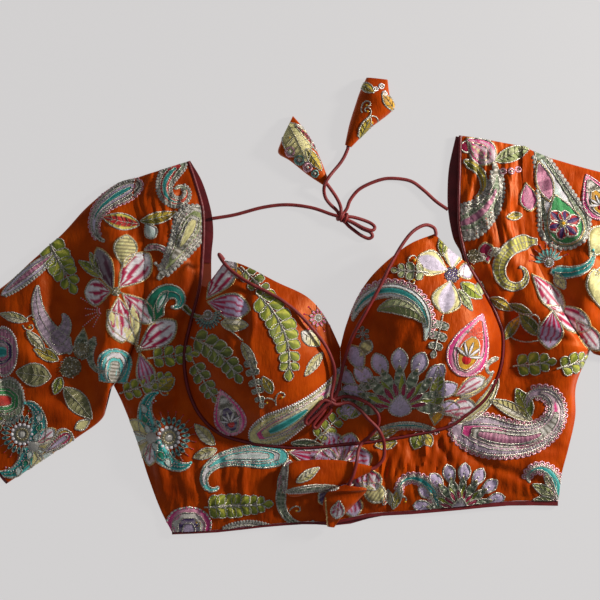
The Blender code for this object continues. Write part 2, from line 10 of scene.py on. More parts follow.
import bmesh
import bpy
import numpy as np
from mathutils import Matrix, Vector
from mathutils.bvhtree import BVHTree


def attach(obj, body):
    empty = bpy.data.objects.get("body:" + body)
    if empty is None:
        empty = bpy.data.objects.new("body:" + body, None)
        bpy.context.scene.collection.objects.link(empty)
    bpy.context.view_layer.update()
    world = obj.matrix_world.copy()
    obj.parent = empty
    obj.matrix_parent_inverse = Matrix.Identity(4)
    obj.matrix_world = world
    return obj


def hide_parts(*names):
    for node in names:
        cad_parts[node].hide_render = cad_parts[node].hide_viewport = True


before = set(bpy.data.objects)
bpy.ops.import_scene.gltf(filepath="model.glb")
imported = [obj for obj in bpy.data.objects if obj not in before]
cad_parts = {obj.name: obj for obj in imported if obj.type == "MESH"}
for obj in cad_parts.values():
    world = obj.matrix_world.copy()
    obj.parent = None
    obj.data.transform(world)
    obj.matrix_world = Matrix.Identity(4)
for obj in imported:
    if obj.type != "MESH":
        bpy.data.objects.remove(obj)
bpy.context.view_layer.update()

MM = 0.001

# Camera: straight above, at the photo's framing
VIEW_CENTRE = (-49.5, 34.0)
VIEW_WIDTH = 582.0
LENS = 90.0
SENSOR = 36.0

# Cloth and seams
CLOTH = 0.9  # silk and its lining
PAD = 3.0  # padded cup wall
GAP = 0.3  # between neighbours, at every seam
PIPING_RADIUS = 1.5
PIPING_SUNK = 0.6  # its centre, under the edge of the cloth
FOLD_HEIGHT = 3.0  # two layers where a sleeve is folded flat
UNDERSIDE = 0.75  # the lowest cloth, over the surface, so that its threads clear it
BACK_TOP = 1.5

# Mesh density
RAIL_STEPS = 17  # rows of the front panel to each interval of its table
PANEL_COLUMNS = 46
BACK_COLUMNS = 26
CUP_ROWS = 84
CUP_COLUMNS = 42
NECKLINE_SHARE = 5  # ninths of a cup's rows that end on its neckline, the rest on the centre seam
SLEEVE_RINGS = 120
SLEEVE_COLUMNS = 96
TASSEL_COLUMNS = 20
TASSEL_STEPS = 7

# Cords
CORD_RADIUS = 1.7
CORD_STEPS = 6
CORD_CLEARANCE = 0.6
SAG_PASSES = 60
INTO_TASSEL = 26.0  # how far each cord runs on inside its tassel

# Front panel: a section for each row, from the armhole, side or hem in to the neck or cup seam.
# outer x, outer y, outer z, inner x, inner y, inner z, hump
FRONT_SECTIONS = [
    (-208.5, 152.0, 3.0, -157.5, 168.0, 5.0, 2.0),  # left shoulder
    (-210.0, 127.0, 9.0, -150.0, 146.0, 6.5, 4.0),
    (-201.0, 100.0, 11.5, -143.5, 122.0, 8.0, 5.0),
    (-199.0, 73.0, 12.0, -142.5, 99.0, 9.0, 6.0),
    (-199.0, 45.0, 12.0, -143.5, 75.0, 9.5, 7.0),
    (-202.0, 15.0, 11.0, -146.0, 48.0, 10.0, 8.0),  # left cup's outer top
    (-211.5, -14.5, 9.0, -154.5, 14.0, 9.0, 9.0),
    (-221.5, -35.5, 6.0, -160.5, -12.0, 8.0, 10.0),
    (-229.9, -48.5, 2.7, -161.0, -31.0, 7.5, 10.0),  # left underarm
    (-221.0, -67.0, 2.7, -157.5, -52.0, 7.0, 10.0),
    (-208.0, -100.0, 2.7, -150.0, -71.0, 6.5, 9.0),
    (-197.5, -134.0, 2.7, -141.0, -83.5, 6.5, 8.0),
    (-185.0, -168.0, 2.7, -131.0, -92.5, 6.0, 7.0),
    (-173.5, -190.5, 2.7, -119.0, -98.5, 6.0, 6.0),  # left hem corner
    (-130.0, -188.5, 2.7, -102.0, -103.0, 6.0, 6.0),
    (-86.0, -183.5, 2.7, -86.4, -106.2, 6.0, 6.0),  # left princess seam
    (-47.0, -180.5, 2.7, -47.0, -108.9, 6.0, 6.5),
    (-18.0, -180.0, 2.7, -8.1, -105.7, 6.0, 7.0),  # centre
    (16.0, -172.8, 2.7, 23.4, -102.6, 6.0, 6.5),
    (58.0, -169.8, 2.7, 58.0, -96.8, 6.0, 6.0),
    (104.0, -165.5, 2.7, 92.1, -89.2, 6.0, 6.0),  # right princess seam
    (152.0, -160.7, 2.7, 112.0, -76.5, 6.5, 7.0),
    (200.3, -160.5, 2.7, 126.0, -65.0, 7.0, 8.0),  # right hem corner
    (203.5, -136.0, 2.7, 134.0, -54.5, 7.0, 9.0),
    (210.5, -109.0, 2.7, 140.5, -42.0, 7.5, 9.0),
    (217.0, -79.0, 2.7, 144.8, -28.0, 8.0, 10.0),
    (218.0, -48.0, 2.7, 146.5, -13.0, 8.0, 10.0),
    (231.8, -13.5, 2.7, 146.0, 2.0, 8.5, 11.0),  # right underarm
    (221.5, -2.0, 6.0, 142.5, 13.0, 9.0, 10.0),
    (208.5, 16.5, 9.0, 136.0, 28.0, 9.5, 9.0),
    (194.0, 39.0, 11.0, 125.0, 48.0, 10.0, 8.0),
    (181.0, 65.0, 12.0, 111.9, 71.0, 10.0, 7.0),  # right cup's outer top
    (168.5, 94.0, 12.0, 104.8, 101.0, 9.5, 6.0),
    (165.5, 120.0, 11.5, 103.6, 127.0, 9.0, 5.0),
    (164.7, 152.0, 9.0, 104.5, 155.0, 7.0, 4.0),
    (165.5, 183.0, 3.0, 105.6, 192.9, 5.0, 2.0),  # right shoulder
]
LEFT_UNDERARM, LEFT_HEM, RIGHT_HEM, RIGHT_UNDERARM = 8, 13, 22, 27
LEFT_CUP_TOP, LEFT_CUP_TURN, LEFT_PRINCESS, CENTRE = 5, 11, 15, 17
RIGHT_PRINCESS, RIGHT_CUP_TURN, RIGHT_CUP_TOP = 20, 24, 31

# Back neck edge, from the left shoulder down and up to the right shoulder: x, y
BACK_NECK = [
    (-156.0, 169.0), (-144.5, 149.0), (-136.0, 122.0), (-133.5, 99.0), (-135.5, 70.0),
    (-132.0, 25.0), (-110.0, -25.0), (-65.0, -57.0), (-9.0, -68.0), (45.0, -57.0),
    (84.0, -25.0), (106.0, 25.0), (108.0, 72.0), (99.0, 94.0), (94.4, 118.0),
    (93.4, 137.0), (95.0, 163.0), (101.5, 192.6),
]

# Cups. A princess seam runs from the free edge down to the cup seam: x, y, z
LEFT_PRINCESS_SEAM = [
    (-139.7, 46.6, 15.0), (-130.0, 30.0, 30.0), (-119.0, 12.7, 40.0), (-100.0, -14.5, 48.0),
    (-90.5, -42.0, 45.0), (-88.0, -73.0, 31.0), (-86.4, -106.2, 6.0),
]
RIGHT_PRINCESS_SEAM = [
    (108.6, 71.2, 15.0), (103.0, 46.0, 33.0), (95.0, 23.0, 43.0), (89.0, -6.0, 48.0),
    (87.3, -33.0, 45.0), (89.5, -63.0, 30.0), (92.1, -89.2, 6.0),
]
# A cup's neckline runs from its top point to the V, then down the centre seam: x, y, z
LEFT_NECKLINE = [
    (-120.7, 71.8, 22.0), (-102.8, 67.0, 25.0), (-72.0, 51.0, 28.0), (-42.0, 36.0, 26.0),
    (-24.0, 14.5, 19.0), (-10.7, -12.6, 11.0),
]
RIGHT_NECKLINE = [
    (79.2, 97.3, 23.0), (53.0, 86.0, 27.0), (23.4, 61.5, 28.0), (6.0, 37.5, 25.0),
    (-5.0, 10.0, 18.0), (-10.7, -12.6, 11.0),
]
CENTRE_SEAM = [(-10.7, -12.6, 11.0), (-9.4, -58.0, 8.0), (-8.1, -105.7, 6.0)]
# A cup's free edge runs from the princess seam up to its top point: x, y, z
LEFT_FREE_EDGE = [(-139.7, 46.6, 15.0), (-131.5, 57.0, 19.0), (-120.7, 71.8, 22.0)]
RIGHT_FREE_EDGE = [(108.6, 71.2, 15.0), (93.5, 82.5, 20.0), (79.2, 97.3, 23.0)]
INNER_CUP_BULGE = 11.0
OUTER_CUP_BULGE = 10.0
# The point that each cup's wall is thickened towards
LEFT_CUP_HEART = (-85.0, -20.0, -45.0)
RIGHT_CUP_HEART = (70.0, -5.0, -45.0)

# Sleeves: edges from the armhole out to the cuff: x, y
LEFT_SLEEVE_TOP = [
    (-208.8, 152.3), (-230.0, 144.4), (-256.0, 123.5), (-279.5, 98.0), (-308.0, 72.8),
    (-340.5, 44.3), (-419.5, -11.0),
]
LEFT_SLEEVE_BOTTOM = [
    (-230.2, -48.3), (-237.2, -60.0), (-240.5, -80.0), (-266.0, -99.7), (-296.0, -119.0),
    (-331.6, -142.5),
]
RIGHT_SLEEVE_TOP = [
    (165.8, 183.4), (184.3, 174.2), (198.0, 169.8), (241.5, 157.7), (330.0, 136.6), (419.0, 115.5),
]
RIGHT_SLEEVE_BOTTOM = [
    (232.1, -13.8), (241.5, -20.0), (300.0, -27.0), (378.3, -36.8),
]
SLEEVE_PUFF = [12.0, 16.0, 17.0, 14.0]  # height at the armhole, then evenly spaced to the cuff

# Cord routes, each from where it leaves: x, y, and its least height where it isn't simply laid
NECK_DORI_LEFT = [
    (-134.2, 112.8), (-112.5, 116.5), (-85.4, 123.7), (-62.0, 126.2), (-38.0, 123.2), (-17.5, 116.2),
]
NECK_DORI_RIGHT = [
    (93.6, 121.4), (82.2, 129.4), (69.8, 140.7), (57.5, 149.2), (40.0, 151.8), (26.5, 149.9),
    (9.0, 142.0), (-0.5, 131.5), (-4.0, 122.8),
]
NECK_LOOP_A = [
    (0.8, 114.2), (12.1, 111.2), (20.0, 107.6), (22.8, 103.8), (19.8, 101.2), (12.1, 103.4),
    (2.2, 108.6),
]
NECK_LOOP_B = [
    (-3.6, 107.0), (2.5, 101.8), (9.9, 96.5), (16.8, 93.6), (20.6, 95.8), (18.4, 99.8),
    (11.0, 103.0), (3.4, 107.6),
]
NECK_TAIL_A = [(-10.0, 122.6), (-11.6, 128.0), (-15.4, 135.1), (-21.0, 143.2)]
NECK_TAIL_B = [
    (-14.6, 121.4), (-20.0, 126.4), (-24.6, 132.5), (-26.4, 139.5), (-25.4, 146.0),
    (-22.0, 152.0), (-17.0, 158.6), (-10.9, 166.0), (-6.4, 173.2), (-3.2, 180.6),
]
CUP_DORI_LEFT = [
    (-122.4, 72.6, 19.5), (-124.6, 75.6, 20.5), (-126.6, 77.6, 22.0), (-125.8, 75.4, 24.5),
    (-121.8, 69.4, 27.0), (-113.3, 60.7), (-97.5, 50.1),
    (-81.7, 42.2), (-66.0, 33.3), (-50.2, 20.6), (-34.4, 2.8), (-23.9, -12.0), (-17.2, -28.8),
    (-16.6, -41.0), (-19.4, -55.4),
]
CUP_DORI_RIGHT = [
    (79.6, 94.6, 25.0), (79.9, 98.6, 24.0), (77.6, 103.2, 23.0), (69.6, 105.4, 24.0), (58.6, 99.8, 27.0),
    (48.9, 88.6, 29.0), (37.8, 70.1),
    (24.7, 44.1), (13.5, 23.7), (0.6, -0.4), (-6.8, -22.6), (-10.4, -40.0), (-14.4, -55.8),
]
CUP_LOOP_A = [
    (-25.6, -67.2), (-31.4, -73.2), (-38.2, -80.0), (-42.6, -84.6), (-44.0, -80.8), (-38.6, -73.6),
    (-32.6, -67.4), (-26.9, -62.0),
]
CUP_LOOP_B = [
    (-20.2, -72.4), (-25.6, -79.0), (-31.0, -85.4), (-34.4, -89.0), (-36.8, -86.0), (-32.6, -79.8),
    (-28.0, -74.0),
]
CUP_TAIL_B = [
    (-14.4, -60.8), (-7.0, -58.6), (1.5, -59.4), (11.0, -62.4), (19.6, -68.0), (25.6, -77.0),
    (24.8, -87.0), (18.4, -96.2), (10.8, -102.6), (6.4, -110.6), (4.4, -122.0), (1.4, -133.6),
    (-1.6, -139.6),
]
CUP_TAIL_A = [
    (-14.6, -66.0), (-3.0, -64.4), (6.6, -70.0), (15.6, -79.6), (25.2, -89.4), (30.2, -99.4),
    (31.6, -109.0), (30.2, -119.0), (23.8, -126.4),
]

# Knots: x, y, half length, half width, half height, turn
NECK_KNOT = (-8.6, 114.4, 7.2, 5.4, 4.2, -20.0)
CUP_KNOT = (-20.2, -63.4, 4.6, 4.4, 4.0, 60.0)

# Tassels: flattened cones of cloth. One edge x, y, the other edge x, y, height
NECK_TASSEL_A = [
    (-27.0, 145.0, -22.0, 150.5, 5.5),
    (-42.0, 155.0, -30.0, 171.0, 9.0),
    (-59.0, 168.5, -37.5, 186.0, 11.0),
    (-70.5, 176.0, -47.0, 201.0, 11.0),
    (-68.0, 187.0, -56.3, 212.0, 6.0),
]
NECK_TASSEL_B = [
    (-6.0, 184.4, 0.0, 181.8, 5.5),
    (-1.5, 205.0, 17.5, 199.5, 10.0),
    (4.5, 224.0, 41.0, 219.0, 12.0),
    (9.0, 237.0, 37.0, 233.0, 12.0),
    (14.8, 249.0, 35.2, 247.0, 6.0),
]
CUP_TASSEL_A = [
    (19.5, -125.5, 17.5, -131.5, 4.5),
    (-4.0, -120.5, -6.0, -142.0, 5.5),
    (-30.0, -119.0, -31.0, -149.0, 8.0),
    (-55.0, -121.0, -54.0, -155.0, 10.0),
    (-67.5, -129.0, -66.5, -151.0, 6.0),
]
CUP_TASSEL_B = [
    (-6.4, -142.6, 1.6, -144.4, 4.5),
    (-22.0, -149.0, 14.5, -147.5, 6.0),
    (-27.5, -161.0, 3.5, -161.5, 8.0),
    (-25.0, -173.0, -9.0, -174.5, 7.0),
    (-22.6, -184.5, -16.5, -185.5, 4.0),
]

# Creases: x, y of one end, x, y of the other, width, height (a trough is below 0)
BODY_CREASES = [
    (157, 46, 160, -70, 15, -3.4),  # the fall to the right of the right cup, and the rise beyond it
    (216, 30, 210, -70, 26, 9.5),
    (196, 60, 205, 20, 18, 4.0),
    (-214, 60, -206, -30, 9, 1.5),
    (-186, 70, -176, -10, 10, -2.2),
    (-150, -60, -140, -120, 8, -1.6),
    (-166, -40, -172, -138, 7.0, -3.2),  # left side
    (-180, -60, -186, -150, 6.0, 2.2),
    (-152, -92, -150, -176, 5.0, -1.8),
    (-196, -52, -165, -96, 4.0, -1.5),
    (-205, -70, -178, -60, 3.5, -1.2),
    (-172, 92, -154, 60, 4.5, -1.6),  # left shoulder
    (-186, 120, -158, 118, 4.0, -1.5),
    (-190, 138, -160, 132, 3.5, 1.2),
    (-160, 142, -176, 108, 3.5, -1.2),
    (-190, 66, -160, 74, 4.5, 1.3),
    (-192, 18, -160, 6, 5.0, -1.6),
    (-150, 52, -160, -20, 4.5, -1.4),
    (-128, -108, -122, -180, 4.0, -1.4),  # midriff
    (-104, -112, -106, -176, 3.5, 1.2),
    (-72, -114, -78, -176, 4.0, -1.3),
    (-38, -112, -34, -150, 3.5, -1.3),
    (-6, -110, 2, -165, 4.0, -1.6),
    (36, -104, 30, -165, 3.5, -2.0),
    (48, -100, 52, -132, 3.2, 1.4),
    (64, -100, 60, -128, 3.0, -1.6),
    (76, -98, 74, -122, 3.0, 1.2),
    (84, -94, 96, -126, 3.5, -1.4),
    (110, -112, 190, -146, 6.0, -1.8),  # right side
    (128, -100, 206, -112, 5.0, -1.4),
    (204, -30, 160, -40, 5.0, -2.4),
    (214, -56, 168, -84, 5.0, -1.8),
    (212, -8, 158, 2, 5.0, -2.4),
    (196, 26, 156, 14, 5.0, 1.8),
    (150, 60, 158, 10, 4.5, -1.8),
    (122, 182, 120, 112, 3.0, -1.6),  # right shoulder
    (132, 184, 134, 96, 3.2, 1.4),
    (142, 182, 142, 84, 3.0, -1.8),
    (152, 178, 154, 70, 3.4, 1.6),
    (160, 176, 161, 96, 3.0, -1.4),
    (112, 150, 114, 88, 2.8, 1.0),
    (130, 88, 142, 44, 4.0, -1.4),
    (172, 60, 150, 40, 4.5, -1.4),
]
SLEEVE_CREASES = [
    (-228, 112, -231, -24, 15, 8.5),  # the head of the left sleeve, and the long fall beyond it
    (-302, 80, -290, -60, 30, -3.6),
    (-352, 30, -340, -110, 30, -3.6),
    (186, 40, 196, 4, 13, -4.0),  # the same on the right one
    (224, 96, 226, -4, 15, 6.5),
    (272, 120, 268, 20, 14, -2.4),
    (-278, 92, -266, -20, 21.0, -8.0),  # left sleeve
    (-316, 62, -304, 4, 13.0, 3.0),
    (-238, -14, -236, -64, 7.0, 6.5),  # the roll at its underarm, and the hollow beside it
    (-262, -20, -256, -86, 10.0, -5.0),
    (-222, 126, -216, 62, 6.0, 1.8),
    (-300, 62, -268, -30, 8.0, -2.6),
    (-330, 30, -296, -60, 9.0, 2.2),
    (-345, 24, -330, -74, 8.0, -2.6),
    (-370, 0, -320, -110, 10.0, 2.0),
    (-296, -62, -252, -72, 7.0, -2.6),
    (-258, -20, -238, -70, 6.0, 2.0),
    (-316, -92, -268, -84, 6.0, -2.0),
    (-378, -20, -346, -100, 8.0, -2.0),
    (-230, 60, -214, 20, 5.0, -1.6),
    (-262, 112, -238, 96, 4.5, -1.3),
    (-310, 56, -290, 30, 4.5, 1.3),
    (206, 84, 330, 34, 8.0, -3.4),  # right sleeve
    (196, 100, 320, 62, 8.0, 2.2),
    (214, 56, 300, 6, 7.0, 1.8),
    (226, 30, 330, -10, 8.0, -2.4),
    (180, 172, 188, 110, 4.5, -1.4),
    (250, 150, 262, 96, 6.0, -2.0),
    (290, 144, 300, 70, 8.0, -2.4),
    (330, 130, 340, 40, 8.0, 2.0),
    (350, 120, 372, 0, 9.0, -2.6),
]
CUP_CREASES = [
    (-92, 58, -93, -34, 3.4, 1.5),  # left cup
    (-100, 60, -102, -50, 4.5, -1.8),
    (-62, 38, -52, 6, 5.0, -1.1),
    (-130, 22, -116, -34, 7.0, -1.6),
    (-96, -40, -78, -88, 5.0, -1.3),
    (-40, 18, -30, -20, 4.0, -1.1),
    (-84, 62, -60, 46, 3.0, 1.2),
    (92, 62, 84, 4, 3.6, -1.3),  # right cup
    (78, 92, 86, 56, 3.5, -1.4),
    (52, 82, 60, 46, 3.5, 1.2),
    (20, 44, 34, 10, 5.0, -1.1),
    (66, 16, 44, -20, 6.0, -1.2),
    (86, -20, 72, -76, 5.0, -1.1),
    (124, 24, 134, -24, 5.0, -1.4),
]
WARP = 3.2  # how far the creases wander
CREASE = 1.45  # on the heights in the tables
RIPPLE = 0.75  # height of the broad unevenness of hand-embroidered satin
PUCKER = 0.6  # height of the fine upright puckers
# Where the fine puckers are: x, y, reach across, reach up, strength
PUCKER_PLACES = [
    (-180, 130, 40, 50, 0.8), (135, 140, 45, 70, 1.25), (-100, -160, 90, 34, 0.9),
    (60, -112, 60, 26, 1.5), (140, -150, 80, 22, 1.0), (0, -150, 60, 30, 1.0),
    (-215, 60, 25, 80, 0.6), (200, 130, 60, 50, 0.6), (-300, 0, 90, 60, 0.4), (300, 60, 90, 60, 0.5),
]


# ---------------------------------------------------------------- curves and grids


def spline(rows, steps, corners=()):
    """Points on a smooth curve through rows, `steps` to an interval, with corners at the rows named."""
    rows = np.array(rows, float)
    stops = [0, *corners, len(rows) - 1]
    t = np.linspace(0, 1, steps + 1)[1:, None]
    points = [rows[:1]]
    for first, last in zip(stops, stops[1:]):
        run = rows[first : last + 1]
        run = np.vstack([2 * run[0] - run[1], run, 2 * run[-1] - run[-2]])
        for before, start, end, after in zip(run, run[1:], run[2:], run[3:]):
            bend = 2 * before - 5 * start + 4 * end - after
            twist = 3 * start - before - 3 * end + after
            points.append((2 * start + (end - before) * t + bend * t**2 + twist * t**3) / 2)
    return np.vstack(points)


def reach(points):
    """How far along a polyline each of its points is."""
    return np.concatenate([[0.0], np.cumsum(np.linalg.norm(np.diff(points, axis=0), axis=1))])


def along(points, shares):
    """The places at these shares of a polyline's length."""
    distance = reach(points)
    wanted = np.asarray(shares) * distance[-1]
    return np.column_stack([np.interp(wanted, distance, column) for column in points.T])


def evenly(points, count):
    return along(points, np.linspace(0, 1, count + 1))


def sideways(points):
    """The unit direction to the left of a line, in plan, at each of its points."""
    way = np.gradient(points[:, :2], axis=0)
    way /= np.maximum(np.linalg.norm(way, axis=1), 1e-9)[:, None]
    return np.column_stack([-way[:, 1], way[:, 0]])


def shifted(points, distance):
    """The curve moved sideways in plan, to the right of its direction."""
    moved = points.copy()
    moved[:, :2] -= sideways(points) * distance
    return moved


def coons(side_a, side_b, end_a, end_b, bulge=0.0):
    """A patch between four edges. The sides run from end_a to end_b, and the ends from side_a to side_b."""
    u = np.linspace(0, 1, len(side_a))[:, None, None]
    v = np.linspace(0, 1, len(end_a))[None, :, None]
    sides = side_a[:, None] * (1 - v) + side_b[:, None] * v
    ends = end_a[None] * (1 - u) + end_b[None] * u
    near = side_a[0] * (1 - v) + side_b[0] * v
    far = side_a[-1] * (1 - v) + side_b[-1] * v
    grid = sides + ends - near * (1 - u) - far * u
    if bulge:
        grid[..., 2] += (bulge * np.sin(np.pi * u) * np.sin(np.pi * v))[..., 0]
    return grid


def fitted(line, start, end):
    """The line with its ends brought to two places, and the rest moved in proportion."""
    share = np.linspace(0, 1, len(line))[:, None]
    return line + (start - line[0]) * (1 - share) + (end - line[-1]) * share


def creased(grid, table, ease, ripple=RIPPLE):
    """The grid with creases, broad ripples and fine puckers, each eased off by `ease` near its seams."""
    x, y = grid[..., 0], grid[..., 1]
    wander_x = x + WARP * np.sin(y / 17.0 + 1.3) + 0.5 * WARP * np.sin(y / 7.3 + x / 31.0)
    wander_y = y + WARP * np.sin(x / 19.0 + 0.4)
    lift = np.zeros_like(x)
    for ax, ay, bx, by, width, height in np.array(table) * (1, 1, 1, 1, 1, CREASE):
        span = (bx - ax) ** 2 + (by - ay) ** 2
        share = ((wander_x - ax) * (bx - ax) + (wander_y - ay) * (by - ay)) / span
        t = np.clip(share, 0, 1)
        off = np.hypot(wander_x - ax - t * (bx - ax), wander_y - ay - t * (by - ay))
        lift += height * np.exp(-((off / width) ** 2)) * np.sqrt(np.sin(np.pi * (0.06 + 0.88 * t)))
    broad = np.sin(x / 9.0 + 1.7 * np.sin(y / 21.0)) * np.sin(y / 14.0 + 1.1 * np.sin(x / 17.0))
    broad += 0.6 * np.sin((x + 0.8 * y) / 6.3 + 1.4 * np.sin(y / 12.0))
    lift += ripple * broad
    strength = np.zeros_like(x)
    for px, py, across, up, amount in PUCKER_PLACES:
        strength += amount * np.exp(-(((x - px) / across) ** 2) - ((y - py) / up) ** 2)
    fine = np.sin(x / 0.95 + 1.9 * np.sin(y / 8.0 + x / 23.0)) * np.sin(y / 10.5 + 2.0 * np.sin(x / 6.0))
    fine += 0.7 * np.sin(x / 1.5 + 2.2 * np.sin(y / 11.0 + 2.0))
    lift += PUCKER * fine * strength
    made = grid.copy()
    made[..., 2] += lift * ease
    return made


def ease_from_edges(grid, depth=5.0):
    """0 on the long edges of a grid of rows and 1 more than a little way in."""
    step = np.linalg.norm(np.diff(grid, axis=1), axis=2)
    distance = np.concatenate([np.zeros((len(grid), 1)), np.cumsum(step, axis=1)], axis=1)
    nearest = np.minimum(distance, distance[:, -1:] - distance)
    return 1 - np.exp(-((nearest / depth) ** 2))


# ---------------------------------------------------------------- materials


def colour(code):
    """Linear red, green and blue of a colour written as six hexadecimal digits."""
    parts = np.array([int(code[k : k + 2], 16) / 255 for k in (0, 2, 4)])
    return np.where(parts <= 0.04045, parts / 12.92, ((parts + 0.055) / 1.055) ** 2.4)


class Nodes:
    """A material's node tree, with short calls for the nodes used here."""

    def __init__(self, name, **sockets):
        self.material = bpy.data.materials.new(name)
        self.material.use_nodes = True
        self.tree = self.material.node_tree
        self.shader = self.tree.nodes["Principled BSDF"]
        for label, value in sockets.items():
            self.shader.inputs[label.replace("_", " ")].default_value = value

    def add(self, kind, **values):
        node = self.tree.nodes.new(kind)
        for label, value in values.items():
            if hasattr(node, label):
                setattr(node, label, value)
            else:
                socket = node.inputs[label.replace("_", " ")]
                if hasattr(value, "links"):
                    self.tree.links.new(value, socket)
                else:
                    socket.default_value = value
        return node

    def link(self, output, socket):
        self.tree.links.new(output, self.shader.inputs[socket])

    def place(self, scale):
        """The object's own coordinates, scaled along X, Y and Z."""
        where = self.add("ShaderNodeTexCoord")
        mapping = self.add("ShaderNodeMapping", Vector=where.outputs["Object"], Scale=scale)
        return mapping.outputs[0]

    def noise(self, vector, scale, detail=3.0):
        return self.add("ShaderNodeTexNoise", Vector=vector, Scale=scale, Detail=detail).outputs["Fac"]

    def wave(self, vector, scale, distortion=0.0):
        node = self.add("ShaderNodeTexWave", Vector=vector, Scale=scale, Distortion=distortion)
        return node.outputs["Fac"]

    def ramp(self, value, stops):
        node = self.add("ShaderNodeValToRGB", Fac=value)
        while len(node.color_ramp.elements) < len(stops):
            node.color_ramp.elements.new(0.5)
        for element, (place, shade) in zip(node.color_ramp.elements, stops):
            element.position = place
            element.color = (*shade, 1.0)
        return node.outputs[0]

    def bumps(self, *layers):
        """Bumps over one another: each is a height, a strength and a distance in metres."""
        normal = None
        for height, strength, distance in layers:
            node = self.add("ShaderNodeBump", Height=height, Strength=strength, Distance=distance)
            if normal is not None:
                self.tree.links.new(normal, node.inputs["Normal"])
            normal = node.outputs[0]
        self.link(normal, "Normal")


def silk_material():
    """Orange satin: a glossy face with warm sheen, fine crinkles and uneven dye."""
    nodes = Nodes(
        "orange_satin",
        Roughness=0.42,
        Sheen_Weight=0.10,
        Sheen_Roughness=0.35,
        Sheen_Tint=(1.0, 0.35, 0.06, 1.0),
        Specular_IOR_Level=0.36,
        Specular_Tint=(1.0, 0.5, 0.2, 1.0),
    )
    dye = nodes.noise(nodes.place((1, 1, 1)), 38.0, 4.0)
    shades = [(0.30, colour("A03302")), (0.52, colour("BA4203")), (0.74, colour("CC4F05"))]
    nodes.link(nodes.ramp(dye, shades), "Base Color")
    crinkle = nodes.noise(nodes.place((3.4, 1.0, 1.0)), 120.0, 3.0)
    broad = nodes.noise(nodes.place((1.7, 1.0, 1.0)), 46.0, 2.0)
    weave = nodes.wave(nodes.place((1, 1, 1)), 900.0, 0.6)
    nodes.bumps((broad, 0.55, 0.0022), (crinkle, 0.55, 0.0008), (weave, 0.15, 0.0001))
    return nodes.material


def lining_material():
    """Plain deep orange lining."""
    nodes = Nodes("lining", Roughness=0.72, Sheen_Weight=0.1)
    shade = nodes.noise(nodes.place((1, 1, 1)), 60.0)
    stops = [(0.3, colour("7A2C0C")), (0.7, colour("93380F"))]
    nodes.link(nodes.ramp(shade, stops), "Base Color")
    nodes.bumps((nodes.wave(nodes.place((1, 1, 1)), 700.0, 1.0), 0.25, 0.0001))
    return nodes.material


def trim_material(name, dark, light, roughness, twill):
    """Maroon satin of the piping, bindings, facings and cords, with a bias twill."""
    nodes = Nodes(
        name,
        Roughness=roughness,
        Sheen_Weight=0.25,
        Sheen_Roughness=0.4,
        Sheen_Tint=(0.9, 0.3, 0.25, 1.0),
    )
    shade = nodes.noise(nodes.place((1, 1, 1)), 90.0, 4.0)
    nodes.link(nodes.ramp(shade, [(0.3, colour(dark)), (0.7, colour(light))]), "Base Color")
    ribs = nodes.wave(nodes.place((1.0, 0.8, 1.0)), twill, 1.5)
    crush = nodes.noise(nodes.place((1, 1, 1)), 260.0, 3.0)
    nodes.bumps((crush, 0.4, 0.0006), (ribs, 0.35, 0.0002))
    return nodes.material


def thread_material(name, stitch, **sockets):
    """Coloured by the mesh's own thread colours, with stitches that run along its UV map's V."""
    nodes = Nodes(name, **sockets)
    paint = nodes.add("ShaderNodeAttribute", attribute_name="thread_colour")
    flow = nodes.add("ShaderNodeTexCoord").outputs["UV"]
    strands = nodes.wave(flow, stitch, 1.2)
    fleck = nodes.noise(flow, 0.9, 3.0)
    shade = nodes.add("ShaderNodeMapRange", Value=fleck)
    shade.inputs["To Min"].default_value = 0.66
    shade.inputs["To Max"].default_value = 1.42
    mixed = nodes.add("ShaderNodeVectorMath", operation="SCALE")
    nodes.tree.links.new(paint.outputs["Color"], mixed.inputs[0])
    nodes.tree.links.new(shade.outputs[0], mixed.inputs["Scale"])
    nodes.link(mixed.outputs[0], "Base Color")
    nodes.bumps((strands, 0.5, 0.0003), (fleck, 0.3, 0.0003))
    return nodes.material


# ---------------------------------------------------------------- meshes


def mesh_piece(name, points, quads, materials, kinds=None, threads=None, colours=None):
    """A mesh object from arrays of points in millimetres and quads."""
    mesh = bpy.data.meshes.new(name)
    mesh.vertices.add(len(points))
    mesh.vertices.foreach_set("co", (points * MM).astype(np.float32).ravel())
    mesh.loops.add(quads.size)
    mesh.loops.foreach_set("vertex_index", quads.astype(np.int32).ravel())
    mesh.polygons.add(len(quads))
    mesh.polygons.foreach_set("loop_start", np.arange(0, quads.size, 4, dtype=np.int32))
    for made in materials:
        mesh.materials.append(made)
    if kinds is not None:
        mesh.polygons.foreach_set("material_index", np.asarray(kinds, np.int32))
    mesh.update(calc_edges=True)
    if threads is not None:
        layer = mesh.uv_layers.new(name="threads")
        layer.uv.foreach_set("vector", threads[quads.ravel()].astype(np.float32).ravel())
    if colours is not None:
        layer = mesh.color_attributes.new("thread_colour", "FLOAT_COLOR", "POINT")
        opaque = np.column_stack([colours, np.ones(len(colours))])
        layer.data.foreach_set("color", opaque.astype(np.float32).ravel())
    mesh.shade_smooth()
    made = bpy.data.objects.new(name, mesh)
    bpy.context.scene.collection.objects.link(made)
    return made


def grid_quads(index, ring=False):
    """The quads of a grid of vertex numbers. A ring's rows close on themselves."""
    if ring:
        index = np.concatenate([index, index[:, :1]], axis=1)
    return np.stack([index[:-1, :-1], index[:-1, 1:], index[1:, 1:], index[1:, :-1]], axis=-1).reshape(-1, 4)


